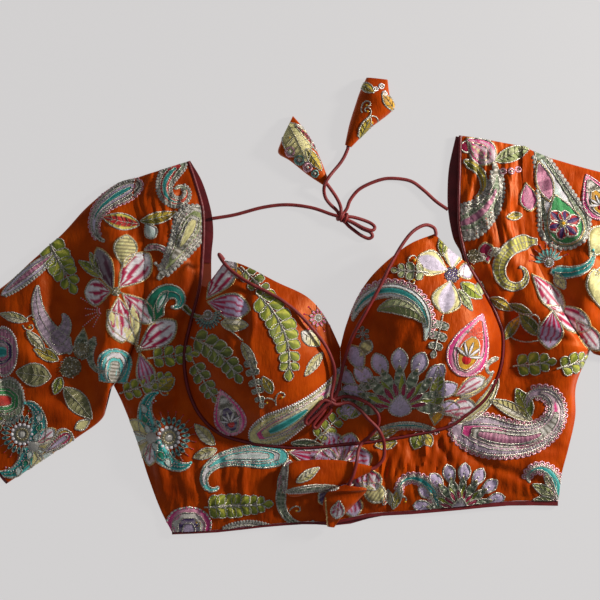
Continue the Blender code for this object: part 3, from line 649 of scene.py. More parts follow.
def shell(name, upper, lower, materials, ring=False):
    """A closed wall between two grids. The lower or inner face has the second material."""
    rows, columns = upper.shape[:2]
    top = np.arange(rows * columns).reshape(rows, columns)
    under = top + rows * columns
    faces = [grid_quads(top, ring), grid_quads(under, ring)[:, ::-1]]
    kinds = [0] * len(faces[0]) + [1] * len(faces[1])
    edges = [(top[0], under[0]), (top[-1], under[-1])]
    if not ring:
        edges += [(top[:, 0], under[:, 0]), (top[:, -1], under[:, -1])]
    for above, below in edges:
        faces.append(grid_quads(np.stack([above, below]), ring))
    quads = np.vstack(faces)
    kinds += [0] * (len(quads) - len(kinds))
    points = np.vstack([upper.reshape(-1, 3), lower.reshape(-1, 3)])
    made = mesh_piece(name, points, quads, materials, kinds)
    turned = bmesh.new()
    turned.from_mesh(made.data)
    bmesh.ops.recalc_face_normals(turned, faces=turned.faces)
    turned.to_mesh(made.data)
    turned.free()
    made.data.set_sharp_from_angle(angle=math.radians(60))
    return made


def lowered(grid, thickness):
    return grid - np.array([0.0, 0.0, thickness])


def cord_curve(name, points, radius, material):
    """A round cord as one open spline."""
    curve = bpy.data.curves.new(name, "CURVE")
    curve.dimensions = "3D"
    curve.bevel_depth = radius * MM
    curve.bevel_resolution = 4
    curve.use_fill_caps = True
    run = curve.splines.new("POLY")
    run.points.add(len(points) - 1)
    for knot, point in zip(run.points, points):
        knot.co = (*(point * MM), 1.0)
    curve.materials.append(material)
    made = bpy.data.objects.new(name, curve)
    bpy.context.scene.collection.objects.link(made)
    return made


class Surface:
    """Outer faces of some pieces, for what is laid on them from above or, with down=-1, from below."""

    START = 200.0

    def __init__(self, grids, down=1):
        self.names = [name for name, _, _ in grids]
        self.down = down
        corners, faces, self.owners = [], [], []
        for number, (_, grid, ring) in enumerate(grids):
            index = np.arange(grid.shape[0] * grid.shape[1]).reshape(grid.shape[:2]) + len(corners)
            quads = grid_quads(index, ring)
            corners += [tuple(point) for point in grid.reshape(-1, 3).tolist()]
            faces += quads.tolist()
            self.owners += [number] * len(quads)
        self.tree = BVHTree.FromPolygons(corners, faces)

    def feel(self, x, y):
        """The place met, the way out of the cloth there, and the piece's number, or -1 where none is."""
        start = Vector((x, y, self.START * self.down))
        spot, normal, face, _ = self.tree.ray_cast(start, Vector((0, 0, -self.down)))
        if spot is None:
            return (x, y, 0.0), (0.0, 0.0, 1.0), -1
        if normal.z * self.down < 0:
            normal = -normal
        return spot, normal, self.owners[face]

    def height(self, x, y, feelers):
        """The highest surface within reach of a place, or the table."""
        spots = [(0, 0), (feelers, 0), (-feelers, 0), (0, feelers), (0, -feelers)]
        return max(self.feel(x + dx, y + dy)[0][2] for dx, dy in spots)


# ---------------------------------------------------------------- embroidery

WHITE, CREAM, LILAC = colour("F2EAEE"), colour("EADF9A"), colour("C8B4D2")
SILVER, GREY, PALE = colour("B9B6AE"), colour("7E7C74"), colour("CFE0D8")
MAGENTA, PINK, ROSE = colour("B80048"), colour("E2408C"), colour("EC9CB8")
RED, PURPLE = colour("C42020"), colour("3D2160")
TEAL, AQUA, EMERALD = colour("12908A"), colour("62CCC8"), colour("138048")
OLIVE, LIME, LEMON = colour("5C6A14"), colour("A2B028"), colour("E6DC58")
YELLOW, GOLD = colour("DCA51C"), colour("8F8460")
ZARI_DARK, ZARI_LIGHT = colour("3A3428"), colour("F4EEDC")

THREAD, ZARI, BEAD = 0, 1, 2  # material numbers
GOLDEN_TURN = 137.5076  # between knots of a pompom, from one to the next
STEP = 1.7  # between rows of a form, along its spine
TWIST = 1.15  # between the strands of a zari outline
LAYER = 0.22  # each layer of threads above the one below
BASE = 0.28  # the lowest threads, above the cloth
HALVINGS = 6  # of a stitch, to find where the cloth under it ends
FLAT = 1e-4  # faces with less cross area are left out


def blended(a, b, share):
    return a + (b - a) * np.clip(share, 0, 1)[..., None]


def plain(shade):
    return lambda u, t: np.broadcast_to(shade, (u.size, t.size, 3))


def shaded(root, tip, power=1.0):
    """From the root's colour to the tip's."""
    return lambda u, t: blended(root, tip, (u**power) * np.ones_like(t))


def rimmed(core, rim, share=0.3):
    """A core with a rim of another colour along both edges."""
    return lambda u, t: blended(core, rim, (np.abs(t) > 1 - share) * np.ones_like(u))


def striped(ground, stripe, count=3):
    """Stripes from the root that thin out towards the tip."""

    def paint(u, t):
        place = np.abs(((t + 1) / 2 * count + 0.12 * np.sin(9 * u)) % 1 - 0.5)
        inked = place < 0.34 * (1.08 - u) + 0.05
        return blended(ground, stripe, inked * (u < 0.9 - 0.15 * np.abs(t)) * 1.0)

    return paint


def banded(a, b, pitch=0.12):
    """Bars across the form, one colour after the other."""
    return lambda u, t: blended(a, b, ((u / pitch) % 1 < 0.5) * np.ones_like(t))


def leafy(dark=OLIVE, light=LIME, glow=LEMON):
    """A leaf: dark at its root and along one side, pale in the middle of the other."""

    def paint(u, t):
        body = blended(dark, light, u * 0.7 + 0.4 * (t > 0))
        middle = np.exp(-(((t - 0.35) / 0.3) ** 2)) * np.sin(np.pi * u)
        return body + (glow - body) * (middle * 0.7)[..., None]

    return paint


PAINTS = {
    "magenta": striped(WHITE, MAGENTA),
    "magenta_fine": striped(LILAC, MAGENTA, 4),
    "white": rimmed(WHITE, LILAC, 0.3),
    "lilac": shaded(colour("8F7C94"), colour("E2CCEE"), 0.5),
    "grey": shaded(colour("B4A4C0"), colour("DCCCE4")),
    "cream": rimmed(CREAM, colour("CFC079"), 0.25),
    "cream_leaf": leafy(colour("B9AE6A"), CREAM, WHITE),
    "lemon": leafy(OLIVE, YELLOW, LEMON),
    "leaf": leafy(),
    "dark_leaf": leafy(colour("3E4A16"), colour("7E8A28"), colour("A4AC48")),
    "pale_leaf": leafy(colour("7E8A4E"), colour("B9C27E"), colour("E2E4B4")),
    "silver": banded(colour("D8D2C8"), colour("77705F"), 0.055),
    "silver_green": banded(colour("A8B294"), colour("5C6B50"), 0.05),
    "teal": rimmed(TEAL, AQUA, 0.35),
    "aqua": rimmed(AQUA, colour("36AEB0"), 0.3),
    "emerald": shaded(EMERALD, TEAL),
    "comb": banded(AQUA, colour("3A4A50"), 0.035),
    "pink": rimmed(ROSE, PINK, 0.3),
    "pink_net": banded(ROSE, colour("A4627C"), 0.05),
    "rose_white": striped(colour("E8C8D0"), PINK, 5),
    "magenta_plain": shaded(MAGENTA, colour("8A0C3C")),
    "red": shaded(RED, colour("E0502A")),
    "yellow": shaded(YELLOW, colour("C48A10")),
    "green": plain(colour("3B9A54")),
    "pale": rimmed(PALE, WHITE, 0.4),
    "red_leaf": rimmed(RED, LEMON, 0.42),
    "grey_stripe": striped(colour("8C7C84"), colour("5A1B38"), 2),
    "cream_net": banded(CREAM, GOLD, 0.11),
    "silver_leaf": banded(SILVER, colour("5B6A45"), 0.3),
    "lemon_white": shaded(WHITE, LEMON),
    "lemon_comb": banded(LEMON, GOLD, 0.035),
    "lilac_heart": shaded(LILAC, GREY),
    "lilac_net": banded(colour("C8AEC0"), colour("A38E9E"), 0.07),
    "cream_white": rimmed(colour("DCCFE2"), CREAM, 0.5),
    "red_purple": rimmed(PURPLE, RED, 0.64),
    "net_leaf": banded(colour("A6A272"), colour("7C7A4C"), 0.06),
    "net_purple": banded(colour("8D7E92"), PURPLE, 0.22),
    "dark_silver": banded(colour("8A8378"), colour("4A4238"), 0.055),
}


def rounded(u, head):
    """A round head that takes this share of a form's length."""
    return np.sqrt(np.clip(1 - ((head - u) / head) ** 2, 0, 1))


PROFILES = {  # half width along a form, as a share of its greatest
    "petal": lambda u: np.sin(np.pi * u**1.35) ** 0.75,
    "leaf": lambda u: np.sin(np.pi * u**0.9) ** 0.85,
    "drop": lambda u: np.sin(np.pi * u**0.7) ** 0.8 * (1 - 0.25 * u),
    "paisley": lambda u: np.where(
        u < 0.24, rounded(u, 0.24), 0.10 + 0.90 * (1 - (u - 0.24) / 0.76) ** 1.15
    ),
    "crescent": lambda u: np.sin(np.pi * u) ** 0.65,
    "dome": lambda u: np.where(u < 0.45, rounded(u, 0.45), 1.16 - 0.36 * u),
    "horn": lambda u: (1 - u) ** 0.6 * np.clip(u * 9, 0.35, 1),
}


def toward(x, y, turn, far):
    """The place at a distance from another, along a turn."""
    return x + far * math.cos(math.radians(turn)), y + far * math.sin(math.radians(turn))


def ahead(line, at):
    """The turn along which a line runs at one of its points."""
    left = sideways(line)[at]
    return math.degrees(math.atan2(-left[0], left[1]))


def spine(x, y, turn, length, bend=0.0, curl=0.0, late=3):
    """A line from a place: it sets out along turn, bends evenly by bend, and curls in by curl at its end."""
    count = max(6, round(length / STEP))
    middle = (np.arange(count) + 0.5) / count
    heading = np.radians(turn + bend * middle + curl * middle**late)
    steps = np.column_stack([np.cos(heading), np.sin(heading)]) * length / count
    return np.vstack([[0.0, 0.0], np.cumsum(steps, axis=0)]) + (x, y)


class Embroidery:
    """Flat drawings in thread, zari and beads, each a small grid of points with a height over the cloth.

    press is the share of their height that is kept, and grain is how much longer the zari's strands are.
    """

    def __init__(self, seed, press=1.0, grain=1.0):
        self.chance = np.random.RandomState(seed)
        self.press, self.grain = press, grain
        self.places, self.lifts, self.threads, self.colours, self.quads, self.kinds = [], [], [], [], [], []
        self.count = 0

    def patch(self, places, lifts, threads, colours, kind, ring=False):
        rows, columns = lifts.shape
        index = self.count + np.arange(rows * columns).reshape(rows, columns)
        self.count += rows * columns
        self.places.append(places.reshape(-1, 2))
        self.lifts.append(lifts.ravel() * self.press)
        self.threads.append(threads.reshape(-1, 2))
        self.colours.append(colours.reshape(-1, 3))
        quads = grid_quads(index, ring)
        self.quads.append(quads)
        self.kinds.append(np.full(len(quads), kind))

    def ribbon(self, line, half, paint, layer=0, relief=0.35, columns=7, kind=THREAD):
        """A filled form along a spine. Its threads slant from the middle out to the edges."""
        t = np.linspace(-1, 1, columns)[None, :]
        u = np.linspace(0, 1, len(line))[:, None]
        places = line[:, None] + sideways(line)[:, None] * (half[:, None] * t)[..., None]
        dome = np.sqrt(np.clip(1 - t**2, 0, 1))
        sunk = np.where(np.abs(t) > 0.99, 0.45 if layer == 0 else 0.12, 0.0)
        lifts = (BASE + LAYER * layer - sunk + relief * dome) * np.ones_like(u)
        slant = np.stack([reach(line)[:, None] + half[:, None] * np.abs(t), half[:, None] * t], axis=-1)
        shades = paint(u, t) * (1 + 0.14 * self.chance.randn(len(line), columns, 1))
        self.patch(places, lifts, slant, np.clip(shades, 0, 1), kind)

    def zari(self, path, width=1.7, layer=1, tint=None):
        """A twisted metal thread laid along a path."""
        count = max(3, round(reach(path)[-1] / (TWIST * self.grain)))
        line = evenly(path, count)
        line[1:-1] += self.chance.randn(count - 1, 2) * 0.16
        t = np.array([[-1.0, 0.0, 1.0]])
        places = line[:, None] + sideways(line)[:, None] * (width / 2 * t.T)
        # Each row's tone is random. Every other row, the raised turns of the twist, is paler: painted glints
        # on its crests and painted shade in its grooves.
        tone_and_glint = self.chance.rand(len(line), 3) * 0.65 + 0.40 * (np.arange(len(line)) % 2)[:, None]
        shades = blended(ZARI_DARK, ZARI_LIGHT, tone_and_glint)
        if tint is not None:
            shades = shades * 0.35 + tint * 0.65 * (0.6 + 0.8 * tone_and_glint[:, :, None])
        # Both edges darker: painted shade on the flanks of the round thread.
        shades[:, [0, 2]] *= 0.78
        ridge = 0.5 + 0.16 * (np.arange(len(line)) % 2)[:, None]
        lifts = BASE + LAYER * layer + np.where(np.abs(t) > 0.5, -0.32, ridge)
        threads = np.stack(np.broadcast_arrays(reach(line)[:, None], t), axis=-1)
        self.patch(places, lifts, threads, np.clip(shades, 0, 1), ZARI)

    def bead(self, x, y, radius, shade, layer=1, kind=BEAD):
        """A bead, sequin or padded dot, as a small dome."""
        size = 4 if radius < 1.3 else 6
        a, b = np.meshgrid(np.linspace(-1, 1, size), np.linspace(-1, 1, size))
        disc = np.stack([a * np.sqrt(1 - b**2 / 2), b * np.sqrt(1 - a**2 / 2)], axis=-1)
        dome = np.sqrt(np.clip(1 - (disc**2).sum(axis=-1), 0, 1))
        lifts = BASE + LAYER * layer - 0.35 + min(radius * 0.9, 1.0) * dome
        shades = np.broadcast_to(shade * (0.8 + 0.4 * self.chance.rand()), (size, size, 3))
        self.patch(disc * radius + (x, y), lifts, disc * radius, np.clip(shades, 0, 1), kind)

    def beads(self, path, pitch, radius, shades, layer=1):
        line = evenly(path, max(1, round(reach(path)[-1] / pitch)))
        for k, (x, y) in enumerate(line):
            self.bead(x, y, radius, shades[k % len(shades)], layer)

    def ring(self, x, y, radius, rim=ROSE, heart=ZARI_LIGHT, layer=1):
        """A round eyelet stitch with a bead in it."""
        turn = np.linspace(0, 2 * np.pi, 11)
        path = np.column_stack([x + radius * np.cos(turn), y + radius * np.sin(turn)])
        self.zari(path, radius * 0.75, layer, rim)
        self.bead(x, y, radius * 0.42, heart, layer)

    def form(self, x, y, turn, length, width, profile, paint, bend=0.0, curl=0.0, layer=0, edge=1.9, late=3):
        """A filled form with a zari outline. Gives its spine, half widths and outline."""
        line = spine(x, y, turn, length, bend, curl, late)
        u = np.linspace(0, 1, len(line))
        half = np.maximum(PROFILES[profile](u) * width / 2, 0.15)
        columns = 5 if width < 9 else 9 if width < 20 else 13
        self.ribbon(line, half, PAINTS[paint], layer, columns=columns)
        side = sideways(line) * half[:, None]
        outline = np.vstack([line + side, (line - side)[::-1], (line + side)[:1]])
        if edge:
            self.zari(outline, edge, layer + 1)
        return line, half, outline

    def inner(self, line, half, share, paint, layer, edge=1.3, tint=None, start=0.08, end=0.9):
        """A smaller form inside another, on the same spine."""
        first, last = round(start * (len(line) - 1)), round(end * (len(line) - 1))
        part, thin = line[first : last + 1], half[first : last + 1] * share
        thin = thin * np.sin(np.pi * np.clip(np.linspace(0.04, 0.98, len(part)), 0, 1)) ** 0.35
        self.ribbon(part, thin, PAINTS[paint], layer, columns=7)
        if edge:
            side = sideways(part) * thin[:, None]
            self.zari(np.vstack([part + side, (part - side)[::-1], (part + side)[:1]]), edge, layer + 1, tint)

    def edging(self, line, half, kind, size, first=0.0, last=1.0, sides=(1, -1)):
        """Rings, scallops or beads along the edges of a form."""
        for sign in sides:
            border = line + sideways(line) * (half + size * 0.8)[:, None] * sign
            border = border[round(first * (len(line) - 1)) : round(last * (len(line) - 1)) + 1]
            pitch = {"rings": 2.5, "scallops": 2.0, "beads": 1.5}[kind] * size
            for x, y in evenly(border, max(2, round(reach(border)[-1] / pitch))):
                if kind == "rings":
                    self.ring(x, y, size, layer=0)
                elif kind == "beads":
                    self.bead(x, y, size * 0.6, WHITE, 0)
                else:
                    self.bead(x, y, size * 1.05, SILVER * 0.75, 0, THREAD)
                    self.bead(x, y, size * 0.4, ZARI_LIGHT, 2)

    # ---- motifs: each starts with x, y and turn

    def petal(self, x, y, turn, length, width, paint="magenta", bend=0.0, profile="petal", layer=0):
        line, _, outline = self.form(x, y, turn, length, width * 1.15, profile, paint, bend, layer=layer)
        if width > 11:
            self.zari(outline + (outline - line.mean(axis=0)) * 1.4 / max(width, 14), 1.2, layer, YELLOW)

    def flower(self, x, y, turn, petals, length, width, paint="magenta", layer=0, heart=GOLD):
        for k in range(petals):
            way = turn + 360 * k / petals
            size = 1 + 0.14 * math.sin(2.6 * k + x)
            self.petal(x, y, way, length * size, width * 1.1, paint, 12 * math.sin(k * 1.9), "petal", layer)
        for k in range(7):
            self.bead(*toward(x, y, 360 * k / 7, 2.6), 1.25, heart, layer + 3)
        self.bead(x, y, 1.9, YELLOW, layer + 3)

    def leaf(self, x, y, turn, length, width, paint="leaf", bend=0.0):
        line, half, _ = self.form(x, y, turn, length, width * 1.1, "leaf", paint, bend, edge=1.5)
        self.zari(line[1:-2], 0.9, 2)
        for sign in (1, -1):
            for k in range(3, len(line) - 4, 3):
                tip = line[min(k + 2, len(line) - 1)] + sideways(line)[k] * half[k] * 0.75 * sign
                self.zari(np.stack([line[k], (line[k] + tip) / 2, tip]), 0.6, 2, GOLD)

    def sprig(self, x, y, turn, length, pairs, size, paint="leaf", bend=0.0):
        """A stem with leaves in pairs that grow smaller to its end."""
        stem = spine(x, y, turn, length, bend)
        for k in range(pairs):
            at = round((k + 0.6) / pairs * (len(stem) - 2))
            grown = size * (1.08 - 0.42 * abs(k / pairs - 0.35) - 0.22 * k / pairs)
            for sign in (1, -1):
                way = ahead(stem, at) + (56 + 6 * math.sin(3 * k)) * sign
                self.form(*stem[at], way, grown * 1.12, grown * 0.86, "petal", paint, -18 * sign, edge=1.2)
        self.form(*stem[-1], ahead(stem, -1), size * 0.85, size * 0.6, "petal", paint, edge=1.2)
        self.zari(stem, 1.7, 3)

    def scroll(self, x, y, turn, length, width, paint="silver", bend=0.0, curl=0.0, knob=1.6):
        line, _, _ = self.form(x, y, turn, length, width, "horn", paint, bend, curl)
        if width > 5:
            self.zari(line[2:-3], 0.9, 2)
        if knob:
            self.bead(*line[-1], knob, AQUA if "teal" in paint or "aqua" in paint else SILVER, 3)

    def tendril(self, x, y, turn, length, bend=0.0, curl=0.0, knob=1.1):
        line = spine(x, y, turn, length, bend, curl)
        self.zari(line, 1.5, 0)
        self.bead(*line[-1], knob, YELLOW, 1)

    def zari_edge(self, x, y, turn, length):
        self.zari(spine(x, y, turn, length), 1.6, 0, YELLOW)

    def paisley(self, x, y, turn, length, width, bend, curl, layers, trim="scallops", size=2.0, late=3):
        """A paisley with forms inside one another, rows of beads between them and a trimmed edge."""
        line, half, _ = self.form(x, y, turn, length, width, "paisley", layers[0], bend, curl, late=late)
        shares = np.linspace(0.74, 0.30, max(1, len(layers) - 1))
        for number, (share, paint) in enumerate(zip(shares, layers[1:])):
            end = 0.86 - 0.16 * number
            self.inner(line, half, share, paint, number + 1, start=0.07 + 0.05 * number, end=end)
        pearls = [AQUA, PALE] if layers[0] == "aqua" else [WHITE, SILVER, GREY]
        for side in (sideways(line), -sideways(line)):
            row = line + side * (half * (0.5 + shares[0] / 2))[:, None]
            self.beads(row[3 : round(0.85 * len(line))], 2.4, 0.62, pearls, 2)
            if len(shares) > 1:
                row = line + side * (half * (shares[0] + shares[1]) / 2)[:, None]
                self.beads(row[5 : round(0.7 * len(line))], 2.6, 0.5, [ZARI_LIGHT, ROSE], 3)
        if trim:
            self.edging(line, half, trim, size, 0.0, 0.9)

    def dome(self, x, y, turn, length, width, paints, beads=AQUA):
        """Arches inside one another on a straight foot, with a beaded edge."""
        line, half, outline = self.form(x, y, turn, length, width, "dome", paints[0])
        self.beads(outline, 2.2, 0.9, [beads, PALE], 2)
        for number, paint in enumerate(paints[1:]):
            start = 0.13 * (number + 1)
            self.inner(line, half, 0.76 - 0.22 * number, paint, number + 1, start=start, end=0.99)

    def crescent(self, x, y, turn, length, width, bend, paint, inside, trim, size=1.7, sides=(1,)):
        line, half, _ = self.form(x, y, turn, length, width, "crescent", paint, bend)
        self.inner(line, half, 0.45, inside, 1)
        if trim:
            self.edging(line, half, trim, size, 0.06, 0.94, sides)

    def fan(self, x, y, turn, inner, outer, spread, rays, paint="aqua", tips=RED):
        """Narrow rays from a heart, with a bead at the end of each."""
        width = 2 * math.pi * (inner + outer) / 2 * spread / 360 / rays * 0.82
        for k in range(rays):
            way = turn + spread * (k / (rays - 1) - 0.5)
            self.form(*toward(x, y, way, inner), way, outer - inner, width, "petal", paint, edge=0.8)
            if tips is not None:
                stalk = [toward(x, y, way, outer + far) for far in (0.6, 2.2, 4.2)]
                self.zari(np.array(stalk), 0.9, 0, tips)
                self.bead(*toward(x, y, way, outer + 5.0), 1.0, tips, 0)
        self.bead(x, y, inner * 0.95, GREY, 0, THREAD)
        for k in range(14):
            way = 360 * k / 14
            self.bead(*toward(x, y, way, inner * 0.82), inner * 0.14, WHITE, 1)
            self.bead(*toward(x, y, way, inner * 0.45), inner * 0.12, GOLD, 3)
        self.bead(x, y, inner * 0.28, SILVER, 3)

    def lotus(self, x, y, turn, size, paint="lilac", heart="grey"):
        """A fan of pointed petals, small leaves between them, short petals and a domed heart."""
        for k in range(9):
            way = turn - 92 + 23 * k
            self.form(*toward(x, y, way, 0.50 * size), way, size * 0.40, size * 0.23, "petal", paint)
            root = toward(x, y, way, 0.24 * size)
            self.form(*root, way, size * 0.42, size * 0.15, "leaf", "silver_green", layer=1, edge=1.1)
            for far, big, shade in ((0.62, 1.7, GOLD), (0.71, 1.2, SILVER), (0.50, 1.1, ZARI_LIGHT)):
                self.bead(*toward(x, y, way, size * far), big, shade, 3, ZARI)
        for way in (-76, -40, -4, 32, 68):
            self.form(x, y, turn + way, size * 0.52, size * 0.13, "leaf", "leaf", layer=2, edge=0.9)
        for way in (-80, -57, -34, -11, 12, 35, 58, 81):
            root = toward(x, y, turn + way, 0.13 * size)
            self.form(
                *root, turn + way, size * 0.27, size * 0.085, "petal", "magenta_plain", layer=3, edge=0.9
            )
        root = toward(x, y, turn, -0.12 * size)
        self.form(*root, turn, size * 0.34, size * 0.36, "drop", heart, layer=4)

    def shell(self, x, y, turn, size, rim="pink", field="red", core="yellow"):
        """A pointed shell with a pink outline, a red field and a small flower over a yellow core."""
        line, half, outline = self.form(x, y, turn, size, size * 0.72, "drop", rim)
        self.beads(outline, 2.1, 0.95, [PINK, ROSE], 2)
        self.inner(line, half, 0.74, field, 1, start=0.07, end=0.9)
        self.inner(line, half, 0.50, core, 2, start=0.12, end=0.62)
        root = toward(x, y, turn, size * 0.3)
        for way in (-70, -35, 0, 35, 70):
            self.form(*root, turn + way, size * 0.24, 2.6, "petal", "white", layer=4, edge=0.7)
        self.fan(*toward(x, y, turn, size * 0.62), turn, size * 0.05, size * 0.16, 150, 5, "silver", None)
        self.bead(*toward(x, y, turn, size * 0.26), size * 0.075, RED, 5)

    def pompom(self, x, y, radius, shade=GOLD):
        """A padded disc of knotted zari."""
        self.bead(x, y, radius, shade, 0, THREAD)
        knots = radius * radius * 0.75
        for k in range(round(knots)):
            out = radius * 0.98 * math.sqrt((k + 0.5) / knots)
            shine = (ZARI_LIGHT, GOLD, SILVER * 0.8, GOLD * 0.5)[self.chance.randint(4)]
            self.bead(*toward(x, y, GOLDEN_TURN * k, out), 0.75, shine, 4, ZARI)

    def spray(self, x, y, turn, length, stems=5, spread=80.0, shade=ROSE):
        """Thin stems of beads that open out."""
        for k in range(stems):
            way = turn + spread * (k / (stems - 1) - 0.5)
            line = spine(x, y, way, length * (0.8 + 0.2 * math.cos(k * 2.1)), 14 * (k - stems / 2) / stems)
            self.beads(line[2:], 2.6, 0.75, [shade, SILVER], 0)

    def cluster(self, x, y, turn, size, paint="teal"):
        """A bird-like cluster: a fan of combs, a horn each way and leaves at its foot."""
        fx, fy = toward(x, y, turn + 90, size * 0.16)
        self.fan(fx, fy, turn + 90, size * 0.145, size * 0.245, 235, 15, "comb", RED)
        hx, hy = toward(*toward(x, y, turn + 90, size * -0.02), turn, size * -0.08)
        self.scroll(hx, hy, turn, size * 0.62, size * 0.24, paint, 24, 90, 1.4)
        self.scroll(hx, hy, turn + 180, size * 0.60, size * 0.24, paint, -26, -80, 1.4)
        for way, leaf in ((-150, "cream"), (-110, "pale"), (-64, "cream_leaf"), (-30, "magenta")):
            self.petal(hx, hy, turn + way, size * 0.32, size * 0.14, leaf)
        for way, bend, curl in ((0, 24, 60), (180, -26, -60)):
            row = spine(hx, hy, turn + way, size * 0.5, bend, curl)[2:]
            self.beads(row, 2.7, 0.95, [SILVER, AQUA, WHITE], 2)
            for k in range(1, len(row) - 5, 6):
                drop = "emerald" if k % 4 > 1 else "pale"
                self.form(*row[k], turn + way, size * 0.11, size * 0.075, "drop", drop, layer=3, edge=0.9)
            self.beads(row + sideways(row) * 3.2, 2.9, 0.8, [GREY, EMERALD], 2)
            self.beads(row - sideways(row) * 3.2, 2.9, 0.8, [PALE, ROSE], 2)
        self.bead(hx, hy, size * 0.07, SILVER, 3, ZARI)

    def draw(self, motifs):
        for kind, *values in motifs:
            getattr(self, kind)(*values)

    def lay(self, surface, prefix, materials):
        """The drawings laid on the surface as one mesh for each piece of cloth, cut where a piece ends."""
        places, lifts = np.vstack(self.places), np.concatenate(self.lifts)
        extras = np.column_stack([lifts, np.vstack(self.threads), np.vstack(self.colours)])
        quads, kinds = np.vstack(self.quads), np.concatenate(self.kinds)
        felt = [surface.feel(x, y) for x, y in places.tolist()]
        owners = np.array([owner for _, _, owner in felt])
        ways = [tuple(way) for _, way, _ in felt]
        spots = [tuple(spot) for spot, _, _ in felt]
        extras = list(extras)
        on = owners[quads]
        whole = (on == on[:, :1]).all(axis=1) & (on[:, 0] >= 0)
        kept = {piece: [quads[whole & (on[:, 0] == piece)]] for piece in range(len(surface.names))}
        kept_kinds = {piece: [kinds[whole & (on[:, 0] == piece)]] for piece in kept}
        for row in np.nonzero(~whole & (on >= 0).any(axis=1))[0]:
            for piece in set(on[row].tolist()) - {-1}:
                inside = [corner for corner, owner in zip(quads[row], on[row]) if owner == piece]
                cut = []
                for corner, owner in zip(quads[row], on[row]):
                    if owner == piece:
                        cut.append(corner)
                        continue
                    near = min(inside, key=lambda k: float(np.hypot(*(places[k] - places[corner]))))
                    low, high, met = 0.0, 1.0, (spots[near], ways[near])
                    for _ in range(HALVINGS):
                        share = (low + high) / 2
                        x, y = places[near] + (places[corner] - places[near]) * share
                        spot, way, owner_there = surface.feel(x, y)
                        if owner_there == piece:
                            low, met = share, (tuple(spot), tuple(way))
                        else:
                            high = share
                    spots.append(met[0])
                    ways.append(met[1])
                    extras.append(extras[near] + (extras[corner] - extras[near]) * low)
                    cut.append(len(spots) - 1)
                kept[piece].append(np.array([cut]))
                kept_kinds[piece].append(kinds[row : row + 1])
        spots, ways, extras = np.array(spots), np.array(ways), np.array(extras)
        points = spots + ways * extras[:, :1]
        points[:, 2] = np.maximum(points[:, 2], GAP / 3)
        made = []
        for piece, name in enumerate(surface.names):
            faces, numbers = np.vstack(kept[piece]), np.concatenate(kept_kinds[piece])
            if not len(faces):
                continue
            used, faces = np.unique(faces, return_inverse=True)
            faces = faces.reshape(-1, 4)
            corners = points[used][faces]
            across = np.cross(corners[:, 2] - corners[:, 0], corners[:, 3] - corners[:, 1])
            turned = across[:, 2] * surface.down < 0
            faces[turned] = faces[turned][:, ::-1]
            full = np.linalg.norm(across, axis=1) > FLAT
            threads, colours = extras[used][:, 1:3], extras[used][:, 3:6]
            made.append(mesh_piece(
                f"{prefix}_{name}", points[used], faces[full], materials, numbers[full], threads, colours
            ))
        return made


